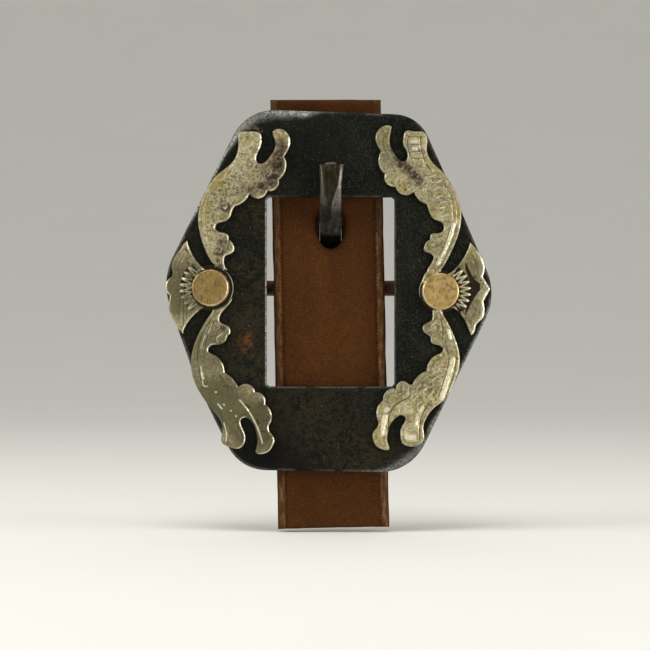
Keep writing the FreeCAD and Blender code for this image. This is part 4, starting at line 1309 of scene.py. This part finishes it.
def build_tongue():
    """Forged tongue: domed front with a flat filed from the tip that runs out in a point, painted
    shade in the slot and a painted highlight on the flat's right edge.
    """
    mesh = remeshed("tongue", 0.10, 4)
    spots, outward = places(mesh), normals(mesh)
    x, y, z = spots.T
    bins = np.arange(8.0, 22.0, 0.25)
    crest = [y[(np.abs(x) < 0.4) & (np.abs(z - level) < 0.25)].min() for level in bins]
    ridge = np.interp(z, bins, crest)
    frontal = smoothstep(0.10, 0.55, -outward[:, 1]) * smoothstep(9.0, 12.0, z)
    across = x - FACET_MIDDLE
    border = np.where(across < 0, np.interp(z, FACET_Z, FACET_LEFT),
                      np.interp(z, FACET_Z, FACET_RIGHT))
    beyond = np.abs(across) - border
    filed = smoothstep(0.05, -0.05, beyond) * smoothstep(FACET_BOTTOM_Z, FACET_BOTTOM_Z + 0.4, z)
    fall = SIDE_FALL * np.clip(beyond, 0.0, None) ** 1.4 + 0.05
    hollow = 0.07 * bell(across / (border + 0.2), 0.6) * smoothstep(FACET_BOTTOM_Z, FACET_TOP_Z, z)
    wanted = fall * (1.0 - filed) + hollow * filed
    lowered = np.where(y < ridge + wanted, ridge + wanted, y)
    spots[:, 1] = y + (lowered - y) * frontal
    shoulder = smoothstep(0.40, 1.35, np.abs(x + 0.05)) * smoothstep(20.6, 21.6, z)
    spots[:, 2] -= SHOULDER_DROP * shoulder
    spots[:, 0] += (0.15 + 0.05 * x) * smoothstep(16.0, 21.0, z)
    hammer = 0.030 * noise(spots, 1.7, 41, 2) + 0.014 * noise(spots, 0.5, 42, 2)
    away_from_bore = smoothstep(1.7, 2.1, np.hypot(spots[:, 1], spots[:, 2]))
    spots += outward * ((hammer - 0.03) * away_from_bore)[:, None]
    limit = np.interp(z, FLANK_Z, FLANK)
    spots[:, 0] = np.clip(spots[:, 0], -limit, limit)
    move(mesh, spots)
    # Worn edges of the flat, with a painted highlight on its right edge
    crease = bell(beyond, 0.10) * smoothstep(FACET_BOTTOM_Z + 1.5, 16.0, z)
    right = smoothstep(0.0, 0.12, beyond) * (across > 0) * smoothstep(12.2, 15.5, z)
    wear_and_highlight = np.maximum(0.30 * crease * (x < 0),
                      (0.36 + 0.14 * smoothstep(15.0, 19.0, z)) * right)
    tip = bell(z - TONGUE_TIP_Z, 0.18) * (np.abs(x) < 1.0)
    wear_and_highlight = np.maximum(wear_and_highlight, 0.30 * tip) * frontal
    left = smoothstep(0.0, 0.12, beyond) * (across < 0) * smoothstep(12.5, 16.0, z)
    wear_and_highlight = np.maximum(wear_and_highlight, 0.12 * left * frontal)
    # Painted shade on the tongue where it goes into the slot
    root = smoothstep(*SHADED_ROOT_Z, z) * (y < -2.5)
    soot_shade = np.maximum(root, (0.40 + 0.20 * smoothstep(15.5, 12.5, z)) * frontal)
    put(mesh, "forged_tongue", ["tongue"], "tongue", "forged_steel",
        {"grime_and_shade": 0.85 * filed * frontal, "wear_and_highlight": wear_and_highlight, "soot_and_shade": soot_shade * (1.0 - wear_and_highlight)})


# ---------------------------------------------------------------- bar and rivets

def build_weathered(node, voxel, dent):
    """CAD solid with eased edges and a dented surface."""
    mesh = remeshed(node, voxel, 3)
    spots, outward = places(mesh), normals(mesh)
    depth = dent * (0.6 * noise(spots, 1.8, 51, 2) + 0.4 * noise(spots, 0.5, 52, 2) - 0.9)
    spots += outward * depth[:, None]
    move(mesh, spots)
    edge = smoothstep(0.25, 0.7, 1.0 - np.abs(outward).max(axis=1))
    return mesh, spots, edge


# How much of the darker tone each rivet takes
RIVET_DARKENING = {"left": 0.95, "right": 0.22}
# Side of each rivet's head whose rim gets a painted highlight
RIVET_LIT = {"left": (0.85, -0.52), "right": (-0.5, -0.86)}


def build_rivet(side):
    """Rivet with a flat, scratched head and a peened tail."""
    name = side + "_rivet"
    centre = rivet_centre(side)
    head_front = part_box(name)[0].y / MM
    mesh, spots, _ = build_weathered(name, 0.10, 0.02)
    away = spots[:, [0, 2]] - centre
    radius = np.linalg.norm(away, axis=1)
    # Painted highlight on the lit side of the head's rim
    lit = smoothstep(-0.3, 0.7, away @ np.array(RIVET_LIT[side]) / (radius + 1e-9))
    head = spots[:, 1] < LEAF_FRONT - 0.05
    rim = head * bell(radius - (RIVET_SEAT_R - 0.16), 0.13)
    # Painted shade under the head
    under = smoothstep(LEAF_FRONT - 0.35, LEAF_FRONT - 0.05, spots[:, 1])
    tail = spots[:, 1] > 1.0
    grime_and_shade = np.where(tail, 0.25 + 0.25 * noise(spots, 0.8, 53, 2), 0.85 * under)
    bright = rim * lit * smoothstep(-0.7, 0.5, noise(spots, 2.5, 54))
    bright *= smoothstep(head_front + 0.35, head_front + 0.1, spots[:, 1])
    put(mesh, name + "_head_and_tail", [name], "buckle", "rivet_brass",
        {"grime_and_shade": grime_and_shade, "polish_and_highlight": 0.75 * bright, "dull": np.full(len(spots), RIVET_DARKENING[side])})


def build_small(node, name, slot, voxel, dent):
    """Bar, collar or burr, dented and rusted a little."""
    mesh, spots, edge = build_weathered(node, voxel, dent)
    hollow = smoothstep(0.1, 0.7, noise(spots, 1.1, 55, 2))
    marks = {"grime_and_shade": 0.6 * hollow, "wear_and_highlight": 0.7 * edge, "polish_and_highlight": 0.5 * edge}
    put(mesh, name, [node], "buckle", slot, marks)


# ---------------------------------------------------------------- studio

CAMERA_LENS = 120.0
SENSOR = 36.0
# Width of the photo at the plate's front, and where its middle looks, in millimetres
FIELD = 112.6
VIEW_CENTRE = (-0.97, -6.5)
# Flat part and wall of the floor, and its gap below the strap, in metres
FLOOR_GAP = 0.0005
FLOOR_RADIUS = 0.45
BOWL_RADIUS = 2.2
BOWL_HEIGHT = 1.6
BOWL_ROWS = 24
BOWL_TURNS = 96
# Name, place, size in metres and power in watts of each lamp
LAMPS = (("left_lamp", (-0.40, -0.16, 0.16), 0.20, 1.0),
         ("right_lamp", (0.40, -0.18, 0.02), 0.20, 1.6),
         ("top_lamp", (-0.05, -0.22, 0.50), 0.26, 1.2))
WARM = (1.0, 0.97, 0.91)
SKY_COLOUR = (1.0, 0.98, 0.93)
SKY_STRENGTH = 0.50


def build_camera():
    """Camera square to the plate's front."""
    data = bpy.data.cameras.new("camera")
    data.lens, data.sensor_width = CAMERA_LENS, SENSOR
    data.clip_start, data.clip_end = 0.01, 10.0
    camera = bpy.data.objects.new("camera", data)
    distance = FIELD * CAMERA_LENS / SENSOR
    camera.location = (VIEW_CENTRE[0] * MM, (PLATE_FRONT - distance) * MM, VIEW_CENTRE[1] * MM)
    camera.rotation_euler = (math.radians(90.0), 0.0, 0.0)
    bpy.context.scene.collection.objects.link(camera)
    bpy.context.scene.camera = camera


def build_bowl():
    """Pale floor that turns up smoothly into a wall all round."""
    floor_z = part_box("strap")[0].z - FLOOR_GAP
    profile = [(0.0, 0.0)]
    for row in range(BOWL_ROWS + 1):
        turn = row / BOWL_ROWS * math.pi / 2
        profile.append((FLOOR_RADIUS + (BOWL_RADIUS - FLOOR_RADIUS) * math.sin(turn),
                        BOWL_HEIGHT * (1.0 - math.cos(turn))))
    bm = bmesh.new()
    line = [bm.verts.new((r, 0.0, h + floor_z)) for r, h in profile]
    edges = [bm.edges.new(pair) for pair in zip(line, line[1:])]
    bmesh.ops.spin(bm, geom=line + edges, cent=(0, 0, 0), axis=(0, 0, 1), angle=2 * math.pi,
                   steps=BOWL_TURNS)
    bmesh.ops.remove_doubles(bm, verts=bm.verts, dist=1e-5)
    bmesh.ops.recalc_face_normals(bm, faces=bm.faces)
    mesh = bpy.data.meshes.new("floor")
    bm.to_mesh(mesh)
    bm.free()
    mesh.polygons.foreach_set("use_smooth", np.ones(len(mesh.polygons), dtype=bool))
    s = Shade("pale paper", (0.84, 0.84, 0.82))
    s.lay(s.noise(40.0, 2.0), (0.87, 0.87, 0.85))
    mesh.materials.append(s.finish(Roughness=0.9, Specular_IOR_Level=0.1))
    floor = bpy.data.objects.new("floor", mesh)
    bpy.context.scene.collection.objects.link(floor)


def add_light(name, place, size, power):
    """Soft square lamp that faces the buckle."""
    data = bpy.data.lights.new(name, "AREA")
    data.size, data.energy, data.color = size, power, WARM
    lamp = bpy.data.objects.new(name, data)
    lamp.location = place
    lamp.rotation_euler = (-Vector(place)).to_track_quat("-Z", "Y").to_euler()
    lamp.visible_camera = False
    bpy.context.scene.collection.objects.link(lamp)


def build_studio():
    """Floor, camera, soft lamps and a pale sky."""
    build_bowl()
    build_camera()
    for lamp in LAMPS:
        add_light(*lamp)
    world = bpy.data.worlds.new("sky")
    bpy.context.scene.world = world
    world.use_nodes = True
    sky = world.node_tree.nodes["Background"]
    sky.inputs["Color"].default_value = (*SKY_COLOUR, 1.0)
    sky.inputs["Strength"].default_value = SKY_STRENGTH
    bpy.context.scene.view_settings.view_transform = "Standard"


def main():
    """Builds every piece, then the studio."""
    ornaments = [build_ornament(side) for side in ("left", "right")]
    build_plate(ornaments)
    build_strap()
    build_tongue()
    for side in ("left", "right"):
        build_rivet(side)
        build_small(side + "_collar", side + "_spacer", "dark_steel", 0.14, 0.03)
        build_small(side + "_burr", side + "_washer", "rivet_brass", 0.12, 0.02)
    build_small("back_bar", "rusted_bar", "rusted_steel", 0.12, 0.05)
    build_studio()


main()
